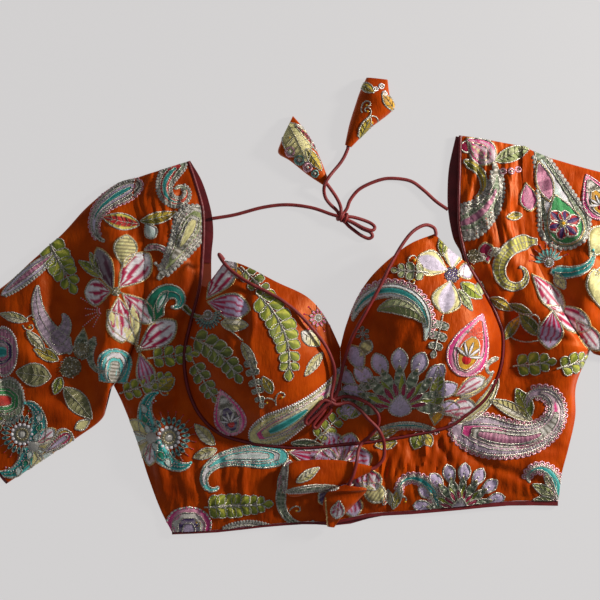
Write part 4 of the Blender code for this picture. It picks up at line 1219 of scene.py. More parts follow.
# Motifs: kind, x, y, turn and the kind's own sizes. They run over the seams, as in printed cloth
BODY_MOTIFS = [
    # left shoulder and side
    ("paisley", -160, 166, 196, 84, 15, 150, 250, ["silver_green", "red", "teal"], "scallops", 1.5),
    ("leaf", -203, 110, 6, 36, 10, "lemon", 16),
    ("petal", -198, 107, -56, 16, 11, "pale"),
    ("leaf", -204, 107, 174, 36, 14, "red_leaf", -10),
    ("paisley", -147, 124, 252, 80, 31, -22, 0, ["silver", "pale_leaf", "silver", "cream"], "scallops", 2.2),
    ("scroll", -199, 82, 34, 48, 5.5, "pink_net", -150, -130),
    ("scroll", -190, 13, 100, 64, 22, "emerald", -100, -200, 1.6),
    ("petal", -186, 22, 84, 24, 7, "pale", -40),
    ("petal", -228, 44, 112, 42, 15, "grey_stripe"),
    ("petal", -222, 46, 50, 42, 23, "magenta"),
    ("petal", -219, 40, -44, 40, 17, "magenta"),
    ("petal", -223, 36, -86, 42, 21, "magenta"),
    ("petal", -230, 42, 182, 27, 22, "magenta"),
    ("pompom", -225, 42, 4.5),
    ("petal", -218, 66, 86, 30, 18, "cream_net"),
    ("leaf", -238, 56, 148, 30, 9, "leaf"),
    ("leaf", -242, 60, 116, 22, 7, "leaf"),
    ("petal", -206, -10, 128, 42, 13, "cream"),
    ("petal", -206, -8, 96, 38, 9, "cream"),
    ("petal", -204, -14, 38, 44, 21, "magenta"),
    ("petal", -203, -18, -74, 34, 15, "magenta_fine"),
    ("pompom", -204, -13, 3.8),
    ("sprig", -196, -22, 6, 42, 4, 11, "leaf"),
    ("sprig", -224, -56, 14, 46, 5, 10, "leaf", 12),
    ("leaf", -186, -52, 36, 19, 13, "lemon"),
    ("tendril", -184, -52, -80, 12, 60, 120),
    ("cluster", -188, -104, -66, 84, "teal"),
    ("dome", -157, -166, -90, 38, 43, ["pink", "silver", "net_purple", "lilac"], PINK),
    ("ring", -149, -182, 3.0, YELLOW),
    ("ring", -163, -180, 2.4, ROSE),
    ("tendril", -142, -186, 100, 18, 30, 220, 1.6),
    ("scroll", -162, 30, -60, 30, 5, "dark_leaf", 50, 60, 1.0),
    # midriff
    ("paisley", -61, -118, 174, 112, 23, 20, 220, ["aqua", "white", "aqua", "pale"], None, 2.0, 5),
    ("sprig", -142, -166, 3, 56, 7, 13, "leaf"),
    ("scroll", -46, -126, 206, 88, 12, "silver_green", 120, 70),
    ("tendril", -60, -170, 60, 20, -90, -220),
    ("petal", -60, -113, -8, 46, 20, "magenta_fine"),
    ("scroll", -59, -121, 246, 32, 8, "pink_net", -20, 60, 0),
    ("crescent", -126, -190, 14, 54, 11, -28, "silver", "pink_net", "scallops", 1.5),
    ("leaf", -132, -106, 134, 28, 10, "cream_leaf"),
    ("leaf", -130, -110, 200, 24, 9, "cream_leaf"),
    ("flower", -9, -124, 15, 7, 31, 17, "magenta_fine"),
    ("leaf", -58, -104, -8, 34, 10, "silver_green"),
    ("petal", 13, -128, -62, 24, 16, "magenta"),
    ("petal", 8, -142, -34, 30, 16, "cream_net"),
    ("petal", -2, -150, -78, 26, 16, "magenta_fine"),
    ("petal", -30, -148, -60, 18, 12, "net_purple"),
    ("leaf", 31, -164, 72, 16, 6, "red_leaf"),
    ("leaf", 38, -164, 100, 15, 6, "cream_leaf"),
    ("leaf", 18, -100, 22, 32, 9, "lemon"),
    ("sprig", -36, -102, 44, 40, 4, 10, "leaf"),
    ("leaf", 44, -103, 190, 22, 10, "lemon"),
    ("leaf", 66, -94, -108, 17, 13, "leaf"),
    ("leaf", 70, -94, -62, 15, 10, "lemon"),
    ("tendril", 40, -168, 90, 26, -70, -150),
    ("leaf", 40, -168, 70, 24, 8, "lemon"),
    ("paisley", 85, -170, 98, 74, 9, 70, 170, ["pale", "teal"], "rings", 1.9),
    ("lotus", 105, -168, 84, 50, "lilac", "lilac_heart"),
    # right side
    ("paisley", 96, -88, -14, 164, 36, -8, 306,
     ["lilac_net", "rose_white", "silver", "pink_net"], "rings", 2.2),
    ("leaf", 174, -83, 146, 46, 12, "cream_leaf", 14),
    ("leaf", 170, -81, 98, 32, 14, "leaf", 26),
    ("paisley", 202, -162, 92, 66, 10, 50, 180, ["pale", "teal"], "rings", 2.3),
    ("leaf", 198, -156, 152, 26, 9, "pale_leaf"),
    ("leaf", 198, -150, 126, 20, 8, "pale_leaf"),
    ("leaf", 196, -160, 178, 20, 7, "pale_leaf"),
    ("sprig", 156, -30, 8, 30, 3, 12, "leaf"),
    ("sprig", 196, -32, 18, 28, 3, 11, "leaf"),
    ("leaf", 148, -4, 58, 26, 9, "lemon"),
    ("leaf", 180, 0, 132, 28, 11, "dark_leaf"),
    ("tendril", 182, -4, 196, 40, -30, -120),
    ("tendril", 176, 2, 60, 26, 40, 160),
    # right shoulder
    ("petal", 112, 190, -42, 34, 22, "rose_white"),
    ("petal", 114, 186, -42, 24, 12, "cream_net"),
    ("petal", 104, 182, 0, 12, 10, "magenta_plain"),
    ("scroll", 109, 168, -18, 48, 10, "lemon", -88, -60, 0),
    ("paisley", 94, 106, 0, 86, 31, 108, 0, ["silver", "silver_green", "pink_net"], "scallops", 2.1),
    ("leaf", 138, 168, 22, 38, 13, "pale_leaf"),
    ("ring", 146, 158, 2.6),
    ("ring", 154, 158, 2.6),
    ("ring", 161, 160, 2.4),
    ("petal", 131, 70, 100, 19, 12, "magenta_plain"),
    ("leaf", 131, 78, 20, 13, 7, "silver"),
    ("leaf", 130, 76, 190, 13, 6, "silver"),
    ("pompom", 118, 76, 7),
    ("scroll", 178, 90, 174, 104, 16, "lemon_comb", 150, 200, 1.5),
    ("leaf", 134, 36, -30, 24, 9, "lemon"),
    ("leaf", 152, 30, -24, 22, 7, "dark_leaf"),
    ("petal", 124, 52, -100, 14, 10, "pale_leaf"),
    ("leaf", 164, 116, 190, 16, 7, "lemon"),
]
CUP_MOTIFS = [
    # left cup
    ("petal", -138, 36, 54, 44, 19, "magenta"),
    ("petal", -137, 32, -10, 40, 21, "magenta_fine"),
    ("fan", -137, 20, -70, 5, 14, 170, 12, "comb", None),
    ("leaf", -124, 12, -4, 26, 12, "cream_leaf"),
    ("sprig", -154, -2, -14, 56, 6, 13, "dark_leaf", -46),
    ("sprig", -152, -24, -60, 38, 4, 10, "dark_leaf"),
    ("sprig", -106, 66, -46, 32, 3, 10, "dark_leaf"),
    ("petal", -118, 66, -34, 18, 7, "yellow"),
    ("sprig", -91, 40, -38, 80, 8, 14.5, "leaf", -56),
    ("tendril", -124, 14, -46, 28, 10, 0, 0.6),
    ("leaf", -104, -6, -62, 28, 8, "cream_leaf"),
    ("sprig", -98, -18, -76, 46, 5, 7, "silver_leaf"),
    ("leaf", -48, 4, -38, 22, 12, "lemon_white"),
    ("leaf", -28, -16, -128, 28, 8, "cream_leaf"),
    ("fan", -32, 17, 0, 4, 9, 330, 11, "rose_white", MAGENTA),
    ("shell", -112, -96, 106, 46, "pink", "silver", "net_purple"),
    ("tendril", -72, -66, 104, 24, -60, -240),
    ("tendril", -73, -62, 140, 20, 60, 240),
    ("leaf", -76, -54, 118, 18, 9, "lemon"),
    ("paisley", -98, -100, 20, 118, 30, 30, 10, ["cream", "rose_white", "cream_leaf", "teal"], "beads", 1.6),
    ("petal", -84, -94, 8, 44, 13, "magenta_fine", 34),
    ("petal", -60, -86, 26, 40, 12, "magenta_fine", 30),
    # right cup
    ("petal", 90, 62, 156, 30, 21, "cream_white"),
    ("petal", 95, 64, 82, 28, 19, "cream_white"),
    ("petal", 93, 52, -104, 31, 24, "cream_white"),
    ("petal", 100, 58, 20, 18, 13, "white"),
    ("pompom", 95, 58, 8, PURPLE),
    ("leaf", 86, 76, 84, 24, 9, "leaf"),
    ("leaf", 103, 50, -34, 26, 12, "leaf"),
    ("leaf", 100, 44, -56, 24, 8, "pale_leaf"),
    ("sprig", 72, 60, 176, 28, 3, 9, "pale_leaf"),
    ("tendril", 54, 64, 110, 22, -60, -220, 1.5),
    ("tendril", 56, 60, 230, 18, 60, 220, 1.5),
    ("crescent", 1, 14, 81, 116, 13, -192, "pale", "teal", "rings", 2.5, (1,)),
    ("leaf", 24, 24, 30, 56, 15, "pale_leaf", -96),
    ("fan", 10, 2, 0, 2.4, 7, 300, 6, "silver", None),
    ("sprig", 85, 20, -104, 34, 3, 9, "silver_leaf"),
    ("shell", 101, -37, 68, 62, "pink", "red", "yellow"),
    ("lotus", 46, -69, 92, 64, "lilac", "grey"),
    ("petal", 10, -34, 112, 26, 13, "lilac"),
    ("petal", 4, -48, 140, 24, 11, "lilac"),
    ("leaf", 14, -62, 168, 30, 10, "silver_leaf"),
    ("petal", 8, -20, 60, 18, 10, "cream_net"),
    ("leaf", 76, -78, 76, 50, 13, "leaf", 18),
    ("petal", 98, -56, 28, 32, 14, "magenta"),
    ("petal", 86, -72, 6, 34, 17, "magenta"),
    ("crescent", 102, -86, 26, 62, 11, 46, "cream", "cream_leaf", None),
    ("scroll", 104, -58, 10, 40, 6, "cream", 40, 20, 0),
    ("petal", 80, -86, 84, 21, 12, "yellow"),
    ("scroll", 141, -22, 186, 26, 4, "silver", 70, 150),
    ("crescent", 20, -94, 28, 68, 5, -56, "emerald", "teal", "rings", 1.6, (-1,)),
    ("leaf", 6, -52, 30, 26, 9, "silver_leaf"),
    ("leaf", 0, -80, 60, 22, 9, "leaf"),
]
LEFT_SLEEVE_MOTIFS = [
    ("paisley", -203, 147, 204, 84, 18, 12, 130, ["dark_silver", "grey", "teal"], "rings", 1.7),
    ("sprig", -294, 94, -63, 48, 5, 15, "leaf"),
    ("crescent", -286, 80, 219, 66, 12, 0, "grey", "pink_net", "scallops", 1.6, (1,)),
    ("scroll", -270, -15, 152, 76, 21, "lilac_net", -66, -10, 0),
    ("scroll", -290, -6, 24, 34, 18, "lilac_net", 62, 60, 0),
    ("leaf", -311, 14, 166, 28, 8, "cream_leaf"),
    ("tendril", -314, 13, 70, 26, -120, -240, 1.3),
    ("tendril", -316, 10, -70, 20, 120, 240, 1.3),
    ("leaf", -312, 4, -48, 26, 8, "cream_leaf"),
    ("pompom", -259, -14, 10),
    ("pompom", -271, -31, 10.5),
    ("leaf", -289, -40, 172, 34, 20, "net_leaf"),
    ("leaf", -276, -50, -50, 40, 17, "net_leaf"),
    ("leaf", -279, -40, -112, 18, 9, "leaf"),
    ("leaf", -282, -24, 155, 26, 10, "lemon"),
    ("spray", -238, 24, 196, 26, 5, 80),
    ("dome", -225, -13, -98, 32, 31, ["aqua", "white", "aqua", "silver"]),
    ("scroll", -246, -2, -120, 44, 9, "silver_green", 60, 90),
    ("paisley", -321, -16, 178, 64, 46, 10, 0,
     ["pink_net", "net_purple", "rose_white", "teal"], "beads", 1.6),
    ("paisley", -315, -64, 177, 70, 42, 0, 0, ["silver_green", "green", "green", "red"], "scallops", 1.6),
    ("cluster", -305, -100, 68, 80, "teal"),
    ("paisley", -270, -94, 216, 36, 17, 0, 0, ["yellow", "magenta_fine", "lilac"], "beads", 1.2),
    ("petal", -252, -82, 210, 16, 8, "cream"),
    ("petal", -258, 6, -98, 26, 12, "silver_green"),
    ("flower", -372, -34, 20, 6, 22, 12, "magenta"),
    ("sprig", -352, -112, 74, 44, 5, 10, "leaf"),
    ("leaf", -394, -26, 60, 24, 9, "lemon"),
    ("scroll", -360, -90, 160, 40, 8, "silver", 60, 90),
]
RIGHT_SLEEVE_MOTIFS = [
    ("paisley", 212, 85, 109, 104, 45, -4, 8, ["silver_green", "pale"], "scallops", 2.3),
    ("petal", 211, 89, 109, 48, 31, "green", 0, "drop", 3),
    ("flower", 203, 107, 18, 6, 15, 9, "red_purple", 5),
    ("petal", 191, 130, 106, 38, 13, "pink_net", 0, "leaf", 3),
    ("petal", 168, 146, -80, 26, 14, "pink"),
    ("shell", 244, 112, 112, 46, "pink", "silver", "yellow"),
    ("petal", 228, 76, 54, 34, 24, "cream"),
    ("petal", 240, 26, 104, 38, 18, "cream"),
    ("fan", 190, 70, 100, 5, 14, 150, 9, "aqua", RED),
    ("scroll", 192, 62, -14, 52, 13, "teal", 50, 70, 1.4),
    ("leaf", 196, 60, -60, 18, 9, "cream"),
    ("petal", 174, 58, -50, 46, 17, "magenta"),
    ("petal", 188, 28, -28, 46, 19, "magenta"),
    ("petal", 192, 24, -96, 36, 19, "magenta_fine"),
    ("petal", 216, 14, -50, 36, 15, "magenta"),
    ("leaf", 232, 58, 24, 24, 9, "lemon"),
    ("sprig", 262, 40, -20, 60, 6, 12, "leaf"),
    ("flower", 292, 88, 10, 6, 27, 15, "magenta"),
    ("sprig", 256, 146, -14, 60, 6, 12, "leaf"),
    ("paisley", 340, 118, -66, 96, 34, 20, 90, ["aqua", "white", "teal"], "scallops", 2.2),
    ("lotus", 320, 0, 96, 44, "lilac", "grey"),
    ("shell", 398, 56, 200, 44, "pink", "red", "yellow"),
    ("cluster", 386, 84, 110, 60, "teal"),
    ("leaf", 372, 4, 110, 34, 11, "cream_leaf"),
    ("scroll", 270, -16, 60, 44, 8, "silver_green", -80, -120),
]
CLOTH_MOTIFS = BODY_MOTIFS + CUP_MOTIFS + LEFT_SLEEVE_MOTIFS + RIGHT_SLEEVE_MOTIFS
TASSEL_MOTIFS = [
    ("leaf", -61, 205, -64, 42, 25, "cream"),
    ("ring", -59, 177, 4.0, ROSE),
    ("ring", -50, 169, 4.0, TEAL),
    ("ring", -42, 162, 3.6, ROSE),
    ("ring", -35, 156, 2.8, TEAL),
    ("leaf", -54, 203, -46, 44, 6, "magenta_plain"),
    ("leaf", -44, 180, -54, 26, 9, "lemon"),
    ("tendril", -60, 184, 40, 16, 60, 260),
    ("tendril", 6, 192, 74, 44, -20, -320, 1.4),
    ("tendril", 12, 206, 30, 26, 70, 300, 1.2),
    ("tendril", 10, 214, 104, 24, -80, -260, 1.2),
    ("leaf", 8, 190, 62, 22, 9, "lemon"),
    ("leaf", 42, 217, 128, 20, 9, "yellow"),
    ("leaf", 9, 243, -36, 16, 8, "lemon"),
    ("ring", 29, 240, 2.4, WHITE),
    ("ring", 23, 237, 2.2, WHITE),
    ("ring", 32, 233, 2.2, WHITE),
    ("leaf", -53, -140, 32, 26, 8, "cream_leaf"),
    ("crescent", -62, -118, -108, 34, 7, 30, "pink_net", "silver", None),
    ("crescent", -64, -150, 12, 52, 6, -14, "silver", "silver_green", "beads", 1.3, (-1,)),
    ("petal", -12, -158, 262, 18, 11, "magenta"),
    ("ring", -14, -166, 2.4, ROSE, YELLOW),
    ("zari_edge", -25.4, -155, -85, 30),
]


# ---------------------------------------------------------------- cloth


def rails():
    """The front panel's outer and inner edges, and its hump, at the same sections."""
    corners = (LEFT_UNDERARM, LEFT_HEM, RIGHT_HEM, RIGHT_UNDERARM)
    outer = spline([row[:3] for row in FRONT_SECTIONS], RAIL_STEPS, corners)
    inner = spline([row[3:6] for row in FRONT_SECTIONS], RAIL_STEPS)
    hump = spline([(row[6], 0.0) for row in FRONT_SECTIONS], RAIL_STEPS)[:, 0]
    return outer, inner, hump


def stretch(rail, first, last):
    """The part of a rail between two rows of its table, in the order given."""
    low, high = sorted((first, last))
    part = rail[low * RAIL_STEPS : high * RAIL_STEPS + 1]
    return part if first <= last else part[::-1]


def front_grid(outer, inner, hump):
    edge = shifted(inner, PIPING_RADIUS + GAP)
    v = np.linspace(0, 1, PANEL_COLUMNS + 1)[None, :, None]
    grid = outer[:, None] * (1 - v) + edge[:, None] * v
    grid[..., 2] += hump[:, None] * np.sin(np.pi * v[..., 0])
    made = creased(grid, BODY_CREASES, ease_from_edges(grid))
    made[..., 2] = np.maximum(made[..., 2], BACK_TOP + CLOTH + GAP)
    return made


def back_grid(outer, neck):
    edge = evenly(neck, len(outer) // 3)
    start = along(outer[:, :2], np.linspace(0, 1, len(edge)))
    v = np.linspace(0, 1, BACK_COLUMNS + 1)[None, :, None]
    plan = start[:, None] * (1 - v) + edge[:, None] * v
    return np.concatenate([plan, np.full((*plan.shape[:2], 1), BACK_TOP)], axis=2)


def cup_grids(seam_rail, princess_rows, neckline_rows, free_rows, rows, turn):
    """The outer faces of a cup's inner and outer piece. turn is 1 on the left cup and -1 on the right."""
    top, corner, princess_foot = rows
    seam = shifted(seam_rail, -(PIPING_RADIUS + GAP))
    half = np.array([0.02 * turn, 0, 0])
    princess = spline(princess_rows, 12)
    foot = stretch(seam, princess_foot, CENTRE)
    neck_rows = CUP_ROWS * NECKLINE_SHARE // 9
    neckline = evenly(spline(neckline_rows, 12), neck_rows)
    centre = evenly(spline(CENTRE_SEAM, 12), CUP_ROWS - neck_rows)
    edge = np.vstack([neckline[:-1], centre - half])
    edge = fitted(edge, edge[0], foot[-1] - half)
    inner_line = evenly(shifted(princess, -GAP / 2 * turn), CUP_ROWS)
    inner_line = fitted(inner_line, inner_line[0], foot[0] + half)
    free = evenly(fitted(spline(free_rows, 12), inner_line[0], edge[0]), CUP_COLUMNS)
    bottom = evenly(fitted(foot, inner_line[-1], edge[-1]), CUP_COLUMNS)
    inner = coons(inner_line, edge, free, bottom, INNER_CUP_BULGE)
    flank = evenly(stretch(seam, top, corner), CUP_ROWS)
    toe = stretch(seam, corner, princess_foot)
    outer_line = evenly(shifted(princess, GAP / 2 * turn), CUP_ROWS)
    outer_line = fitted(outer_line, outer_line[0], toe[-1] - half)
    brow = evenly(np.stack([flank[0], outer_line[0]]), CUP_COLUMNS)
    toe = evenly(fitted(toe, flank[-1], outer_line[-1]), CUP_COLUMNS)
    outer = coons(flank, outer_line, brow, toe, OUTER_CUP_BULGE)
    return [creased(grid, CUP_CREASES, ease_from_edges(grid, 4.0), 0.22) for grid in (inner, outer)]


def cup_shell(name, grid, heart, materials):
    """A padded wall, thickened towards the heart of its dome."""
    way = np.array(heart) - grid
    way /= np.linalg.norm(way, axis=2, keepdims=True)
    return shell(name, grid, grid + way * PAD, materials)


def tube_rings(sections, heights, base, columns, crease=None, wall=CLOTH):
    """The outer and inner ring of an open-ended tube lying flat, at each of its sections."""
    rings = len(sections)
    v = (1 - np.cos(np.pi * np.linspace(0, 1, columns + 1))) / 2
    outer, inner = np.zeros((rings, columns + 1, 3)), np.zeros((rings, columns + 1, 3))
    for k, (section, height, bottom) in enumerate(zip(sections, heights, base)):
        edge = wall / reach(section)[-1]
        arch = FOLD_HEIGHT + (height - FOLD_HEIGHT) * np.sqrt(np.clip(4 * v * (1 - v), 0, 1))
        outer[k, :, :2] = along(section, v)
        inner[k, :, :2] = along(section, edge + (1 - 2 * edge) * v)
        outer[k, :, 2] = bottom + arch
        inner[k, :, 2] = bottom + arch - wall
    if crease is not None:
        ease = np.sin(np.pi * v)[None, :] ** 0.5 * np.ones((rings, 1))
        ends = np.minimum(np.arange(rings), np.arange(rings)[::-1])[:, None] / 5.0
        made = creased(outer, crease, ease * np.clip(0.25 + ends, 0, 1))
        made[..., 2] = np.maximum(made[..., 2], np.asarray(base)[:, None] + 2.4 * wall)
        inner[..., 2] += made[..., 2] - outer[..., 2]
        outer = made
    thin = slice(None, None, -3)
    floor = outer[:, thin].copy()
    floor[..., 2] = np.asarray(base)[:, None]
    lining = inner[:, thin].copy()
    lining[..., 2] = np.asarray(base)[:, None] + wall
    return np.concatenate([outer, floor], axis=1), np.concatenate([inner, lining], axis=1)


def sleeve_rings(armhole, top_rows, bottom_rows, outward):
    """The rings of a flat-lying sleeve, from the armhole to the cuff."""
    top = evenly(spline(top_rows, 8), SLEEVE_RINGS)
    bottom = evenly(spline(bottom_rows, 8), SLEEVE_RINGS)
    seam = shifted(armhole[:, :2], outward * GAP)
    top[0], bottom[0] = seam[0], seam[-1]
    cuff = along(np.stack([top[-1], bottom[-1]]), reach(seam) / reach(seam)[-1])
    sections = coons(top, bottom, seam, cuff)
    puffs = spline([(height, 0.0) for height in SLEEVE_PUFF], 12)
    heights = np.interp(np.linspace(0, 1, len(sections)), np.linspace(0, 1, len(puffs)), puffs[:, 0])
    base = [UNDERSIDE] * len(sections)
    return tube_rings(sections, heights - UNDERSIDE, base, SLEEVE_COLUMNS, SLEEVE_CREASES)


def tassel_rings(rows, grounds):
    """The rings of a flattened cone of cloth, each section on what is under it."""
    edges = spline(rows, TASSEL_STEPS)
    sections = [evenly(np.stack([row[:2], row[2:4]]), 10) for row in edges]
    felt = [max(g.height(x, y, CLOTH) for x, y in section for g in grounds) + 0.9 for section in sections]
    near = TASSEL_STEPS // 2
    felt = [max(felt[max(k - near, 0) : k + near + 1]) for k in range(len(felt))]
    base = np.convolve(np.pad(felt, near, mode="edge"), np.ones(2 * near + 1) / (2 * near + 1), "valid")
    base = np.maximum(base, felt)
    past = np.clip(np.linspace(-1.2, 3, len(edges)), 0, 1) * np.sin(np.linspace(0, 9, len(edges)))
    dent = 1.1 * past[:, None] * np.sin(np.linspace(0, 7.5, TASSEL_COLUMNS + 1))
    outer, inner = tube_rings(sections, np.maximum(edges[:, 4], 5.6), base, TASSEL_COLUMNS)
    outer[:, : TASSEL_COLUMNS + 1, 2] += dent
    inner[:, : TASSEL_COLUMNS + 1, 2] += dent
    return outer, inner


# ---------------------------------------------------------------- cords


def laid(routes, grounds):
    """A cord's centre line through routes one after the other, laid on what is under it."""
    rows = [(*row, 0.0)[:3] for route in routes for row in route]
    line = spline(rows, CORD_STEPS)
    floor = np.array([
        max(least, max(g.height(x, y, CORD_RADIUS) for g in grounds) + CORD_RADIUS + CORD_CLEARANCE)
        for x, y, least in line
    ])
    floor = np.array([max(floor[max(k - 2, 0) : k + 3]) for k in range(len(floor))])
    heights = floor.copy()
    for _ in range(SAG_PASSES):
        heights[1:-1] = np.maximum(floor[1:-1], (heights[:-2] + heights[2:]) / 2)
    return np.column_stack([line[:, :2], heights])


def round_tube(points, radius, sides=12):
    """The grid of a round tube along points, open at its ends."""
    way = np.gradient(points, axis=0)
    way /= np.linalg.norm(way, axis=1, keepdims=True)
    across = np.cross(way, [0.0, 0.0, 1.0])
    across /= np.maximum(np.linalg.norm(across, axis=1, keepdims=True), 1e-6)
    up = np.cross(across, way)
    turn = np.linspace(0, 2 * np.pi, sides, endpoint=False)
    radius = np.broadcast_to(radius, len(points))[:, None, None]
    ring = across[:, None] * np.cos(turn)[:, None] + up[:, None] * np.sin(turn)[:, None]
    return points[:, None] + ring * radius


def knot_piece(name, size, height, material):
    """A tight knot: a rounded core with three turns of the cord round it."""
    x, y, length, width, tall, turn = size
    along_knot = np.array([math.cos(math.radians(turn)), math.sin(math.radians(turn)), 0.0])
    side = np.array([-along_knot[1], along_knot[0], 0.0])
    centre = np.array([x, y, height + GAP + tall])
    points, quads = [], []

    def keep(grid):
        index = np.arange(grid.shape[0] * grid.shape[1]).reshape(grid.shape[:2]) + sum(map(len, points))
        points.append(grid.reshape(-1, 3))
        quads.append(grid_quads(index, ring=True))

    u = np.linspace(-0.97, 0.97, 12)
    core = centre + np.outer(u * length * 0.9, along_knot)
    keep(round_tube(core, np.minimum(width, tall) * 0.72 * np.sqrt(1 - u**2), 20))
    for place, lean in ((-0.42, 0.5), (0.05, -0.35), (0.45, 0.3)):
        turns = np.linspace(0, 2 * np.pi, 33)
        ring = (
            centre
            + np.outer(place * length + lean * width * 0.5 * np.sin(turns), along_knot)
            + np.outer(np.cos(turns) * width * 0.72, side)
            + np.outer(np.sin(turns) * tall * 0.66, (0, 0, 1))
        )
        keep(round_tube(ring, CORD_RADIUS * 0.92, 12))
    return mesh_piece(name, np.vstack(points), np.vstack(quads), [material])


# ---------------------------------------------------------------- the scene


def camera():
    data = bpy.data.cameras.new("camera")
    data.lens = LENS
    data.sensor_width = SENSOR
    made = bpy.data.objects.new("camera", data)
    made.location = (VIEW_CENTRE[0] * MM, VIEW_CENTRE[1] * MM, VIEW_WIDTH * MM * LENS / SENSOR)
    bpy.context.scene.collection.objects.link(made)
    bpy.context.scene.camera = made


def lamp(name, place, size, power, shade):
    """A round soft light at a place in metres, facing the blouse."""
    data = bpy.data.lights.new(name, "AREA")
    data.shape = "DISK"
    data.size = size
    data.energy = power
    data.color = shade
    made = bpy.data.objects.new(name, data)
    made.location = place
    made.rotation_euler = Vector(place).to_track_quat("Z", "Y").to_euler()
    bpy.context.scene.collection.objects.link(made)


def floor():
    """A plain pale floor, lit from within so that shadows on it stay faint."""
    bpy.ops.mesh.primitive_plane_add(size=8.0)
    made = bpy.context.object
    made.name = "floor"
    nodes = Nodes("pale_floor", Roughness=0.9, Base_Color=(0.08, 0.08, 0.08, 1.0))
    nodes.shader.inputs["Specular IOR Level"].default_value = 0.0
    nodes.shader.inputs["Emission Color"].default_value = (*colour("CECCCC"), 1.0)
    nodes.shader.inputs["Emission Strength"].default_value = 1.0
    made.data.materials.append(nodes.material)


def lights():
    lamp("key", (0.92, 0.38, 0.37), 0.15, 13.6, (1.0, 0.95, 0.88))
    world = bpy.data.worlds.new("studio")
    world.use_nodes = True
    background = world.node_tree.nodes["Background"]
    background.inputs["Color"].default_value = (0.9, 0.93, 1.0, 1.0)
    background.inputs["Strength"].default_value = 0.17
    bpy.context.scene.world = world
    bpy.context.scene.view_settings.view_transform = "Standard"


def keep(piece, slot, *nodes):
    """The piece rides on the blouse and stands for its CAD nodes; slot is not used."""
    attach(piece, "root")
    if nodes:
        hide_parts(*nodes)
    return piece


def main():
    camera()
    lights()
    floor()
    silk, lining = silk_material(), lining_material()
    maroon = trim_material("maroon_satin", "661418", "841E24", 0.46, 420.0)
    dori = trim_material("dori_cloth", "76181A", "942726", 0.55, 620.0)
    metal = thread_material(
        "zari", 0.55, Roughness=0.36, Metallic=0.55, Sheen_Weight=0.1, Specular_IOR_Level=0.6
    )
    thread = thread_material("silk_thread", 0.42, Roughness=0.48, Sheen_Weight=0.25, Sheen_Roughness=0.4)
    glass = thread_material("beads", 0.1, Roughness=0.18, Specular_IOR_Level=0.7)
    stitched = [thread, metal, glass]
    cloth = [silk, lining]

    outer, inner, hump = rails()
    neck = spline(BACK_NECK, 24)
    front_top, back_top = front_grid(outer, inner, hump), back_grid(outer, neck)
    back_under = lowered(back_top, BACK_TOP - UNDERSIDE)
    front = keep(shell("front_cloth", front_top, lowered(front_top, CLOTH), cloth), "silk", "front_panel")
    back = keep(shell("back_cloth", back_top, back_under, cloth[::-1]), "silk", "back_panel")
    low = lowered(inner, PIPING_SUNK)
    piping = keep(cord_curve("seam_cord", low, PIPING_RADIUS, maroon), "maroon_trim", "seam_piping")
    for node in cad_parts.values():
        if node.name.startswith(("hem_binding", "neck_facing", "cuff_piping")):
            node.data.materials.clear()
            node.data.materials.append(maroon)

    cups = []
    for side, princess, neckline, free, rows, turn, heart in (
        ("left", LEFT_PRINCESS_SEAM, LEFT_NECKLINE, LEFT_FREE_EDGE,
         (LEFT_CUP_TOP, LEFT_CUP_TURN, LEFT_PRINCESS), 1, LEFT_CUP_HEART),
        ("right", RIGHT_PRINCESS_SEAM, RIGHT_NECKLINE, RIGHT_FREE_EDGE,
         (RIGHT_CUP_TOP, RIGHT_CUP_TURN, RIGHT_PRINCESS), -1, RIGHT_CUP_HEART),
    ):
        for part, grid in zip(("inner", "outer"), cup_grids(inner, princess, neckline, free, rows, turn)):
            name = f"{side}_cup_{part}"
            piece = keep(cup_shell(name, grid, heart, cloth), "silk", f"cup_{side}_{part}")
            cups.append((name, grid, False))

    armholes = {
        "left": (stretch(outer, 0, LEFT_UNDERARM), LEFT_SLEEVE_TOP, LEFT_SLEEVE_BOTTOM, 1),
        "right": (stretch(outer, len(FRONT_SECTIONS) - 1, RIGHT_UNDERARM), RIGHT_SLEEVE_TOP,
                  RIGHT_SLEEVE_BOTTOM, -1),
    }
    sleeves, sleeve_pieces = [], {}
    for side, (armhole, top_rows, bottom_rows, outward) in armholes.items():
        rings, lining_rings = sleeve_rings(armhole, top_rows, bottom_rows, outward)
        piece = shell(f"{side}_sleeve", rings, lining_rings, cloth, ring=True)
        sleeve_pieces[side] = keep(piece, "silk", f"sleeve_{side}")
        sleeves.append((f"{side}_sleeve", rings, True))

    upper = Surface([("front", front_top, False), *cups, *sleeves])
    under = Surface([("back", back_under, False), *sleeves], down=-1)
    ground = Surface([("front", front_top, False), ("back", back_top, False), *cups, *sleeves])

    figures = Embroidery(7)
    figures.draw(CLOTH_MOTIFS)
    stitches = {piece.name: piece for piece in figures.lay(upper, "embroidery", stitched)}
    reverse = Embroidery(11, press=0.45, grain=1.7)
    reverse.draw(CLOTH_MOTIFS)
    stitches |= {piece.name: piece for piece in reverse.lay(under, "reverse_embroidery", stitched)}
    for piece in stitches.values():
        keep(piece, "silk")

    cords(ground, dori, cloth, stitched)


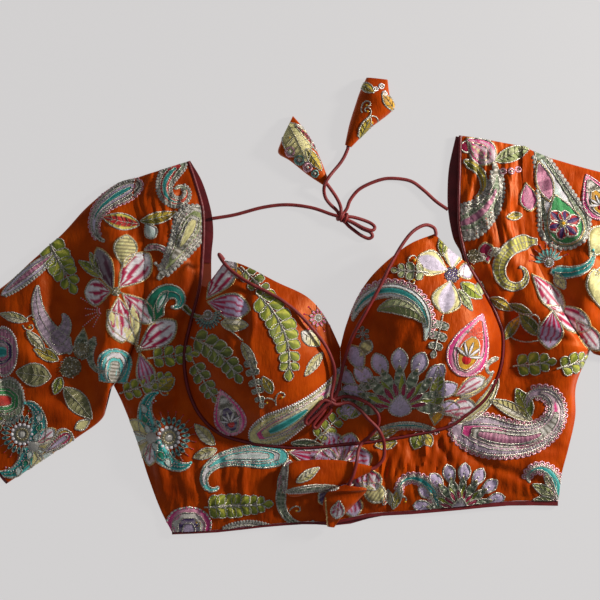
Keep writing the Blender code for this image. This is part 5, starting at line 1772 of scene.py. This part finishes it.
def cords(ground, dori, cloth, stitched):
    """The two pairs of cords, each a dori from its exit through the knot, its loop and its tail."""
    tassels, plans = {}, {
        "neck_a": (NECK_TASSEL_A, "tassel_neck_a"),
        "neck_b": (NECK_TASSEL_B, "tassel_neck_b"),
        "cup_a": (CUP_TASSEL_A, "tassel_cup_a"),
        "cup_b": (CUP_TASSEL_B, "tassel_cup_b"),
    }
    grounds = [ground]

    def tassel(key):
        rows, node = plans[key]
        rings, lining_rings = tassel_rings(rows, grounds)
        piece = keep(shell(f"{key}_tassel", rings, lining_rings, cloth, ring=True), "silk", node)
        face = Surface([(f"{key}_tassel", rings, True)])
        figures = Embroidery(17)
        figures.draw(TASSEL_MOTIFS)
        sewn = figures.lay(face, "embroidery", stitched)
        for stitch in sewn:
            keep(stitch, "silk")
        inside = (rings.max(axis=1) + rings.min(axis=1)) / 2
        tassels[key] = [piece, *sewn], inside[reach(inside) < INTO_TASSEL]
        grounds.append(Surface([(key, rings, True)]))

    def cord(name, routes, nodes, end):
        pieces, inside = end
        points = np.vstack([laid(routes, grounds), inside])
        piece = keep(cord_curve(name, points, CORD_RADIUS, dori), "dori", *nodes)
        grounds.append(Surface([(name, round_tube(points, CORD_RADIUS, 8), True)]))

    def knot(name, size, node):
        height = max(g.height(size[0], size[1], size[3] * 0.6) for g in grounds)
        return keep(knot_piece(name, size, height, dori), "dori", node)

    tie = knot("neck_knot", NECK_KNOT, "dori_neck_knot")
    through = [NECK_KNOT[:2]]
    tassel("neck_a")
    tassel("neck_b")
    cord("neck_cord_b", [NECK_DORI_RIGHT, through, NECK_LOOP_B, through, NECK_TAIL_B],
         ["dori_neck_right", "dori_neck_loop_b", "dori_neck_tail_b"], tassels["neck_b"])
    cord("neck_cord_a", [NECK_DORI_LEFT, through, NECK_LOOP_A, through, NECK_TAIL_A],
         ["dori_neck_left", "dori_neck_loop_a", "dori_neck_tail_a"], tassels["neck_a"])
    tie = knot("cup_knot", CUP_KNOT, "dori_cup_knot")
    through = [CUP_KNOT[:2]]
    tassel("cup_a")
    tassel("cup_b")
    cord("cup_cord_b", [CUP_DORI_RIGHT, through, CUP_LOOP_B, through, CUP_TAIL_B],
         ["dori_cup_right", "dori_cup_loop_b", "dori_cup_tail_b"], tassels["cup_b"])
    cord("cup_cord_a", [CUP_DORI_LEFT, through, CUP_LOOP_A, through, CUP_TAIL_A],
         ["dori_cup_left", "dori_cup_loop_a", "dori_cup_tail_a"], tassels["cup_a"])


main()
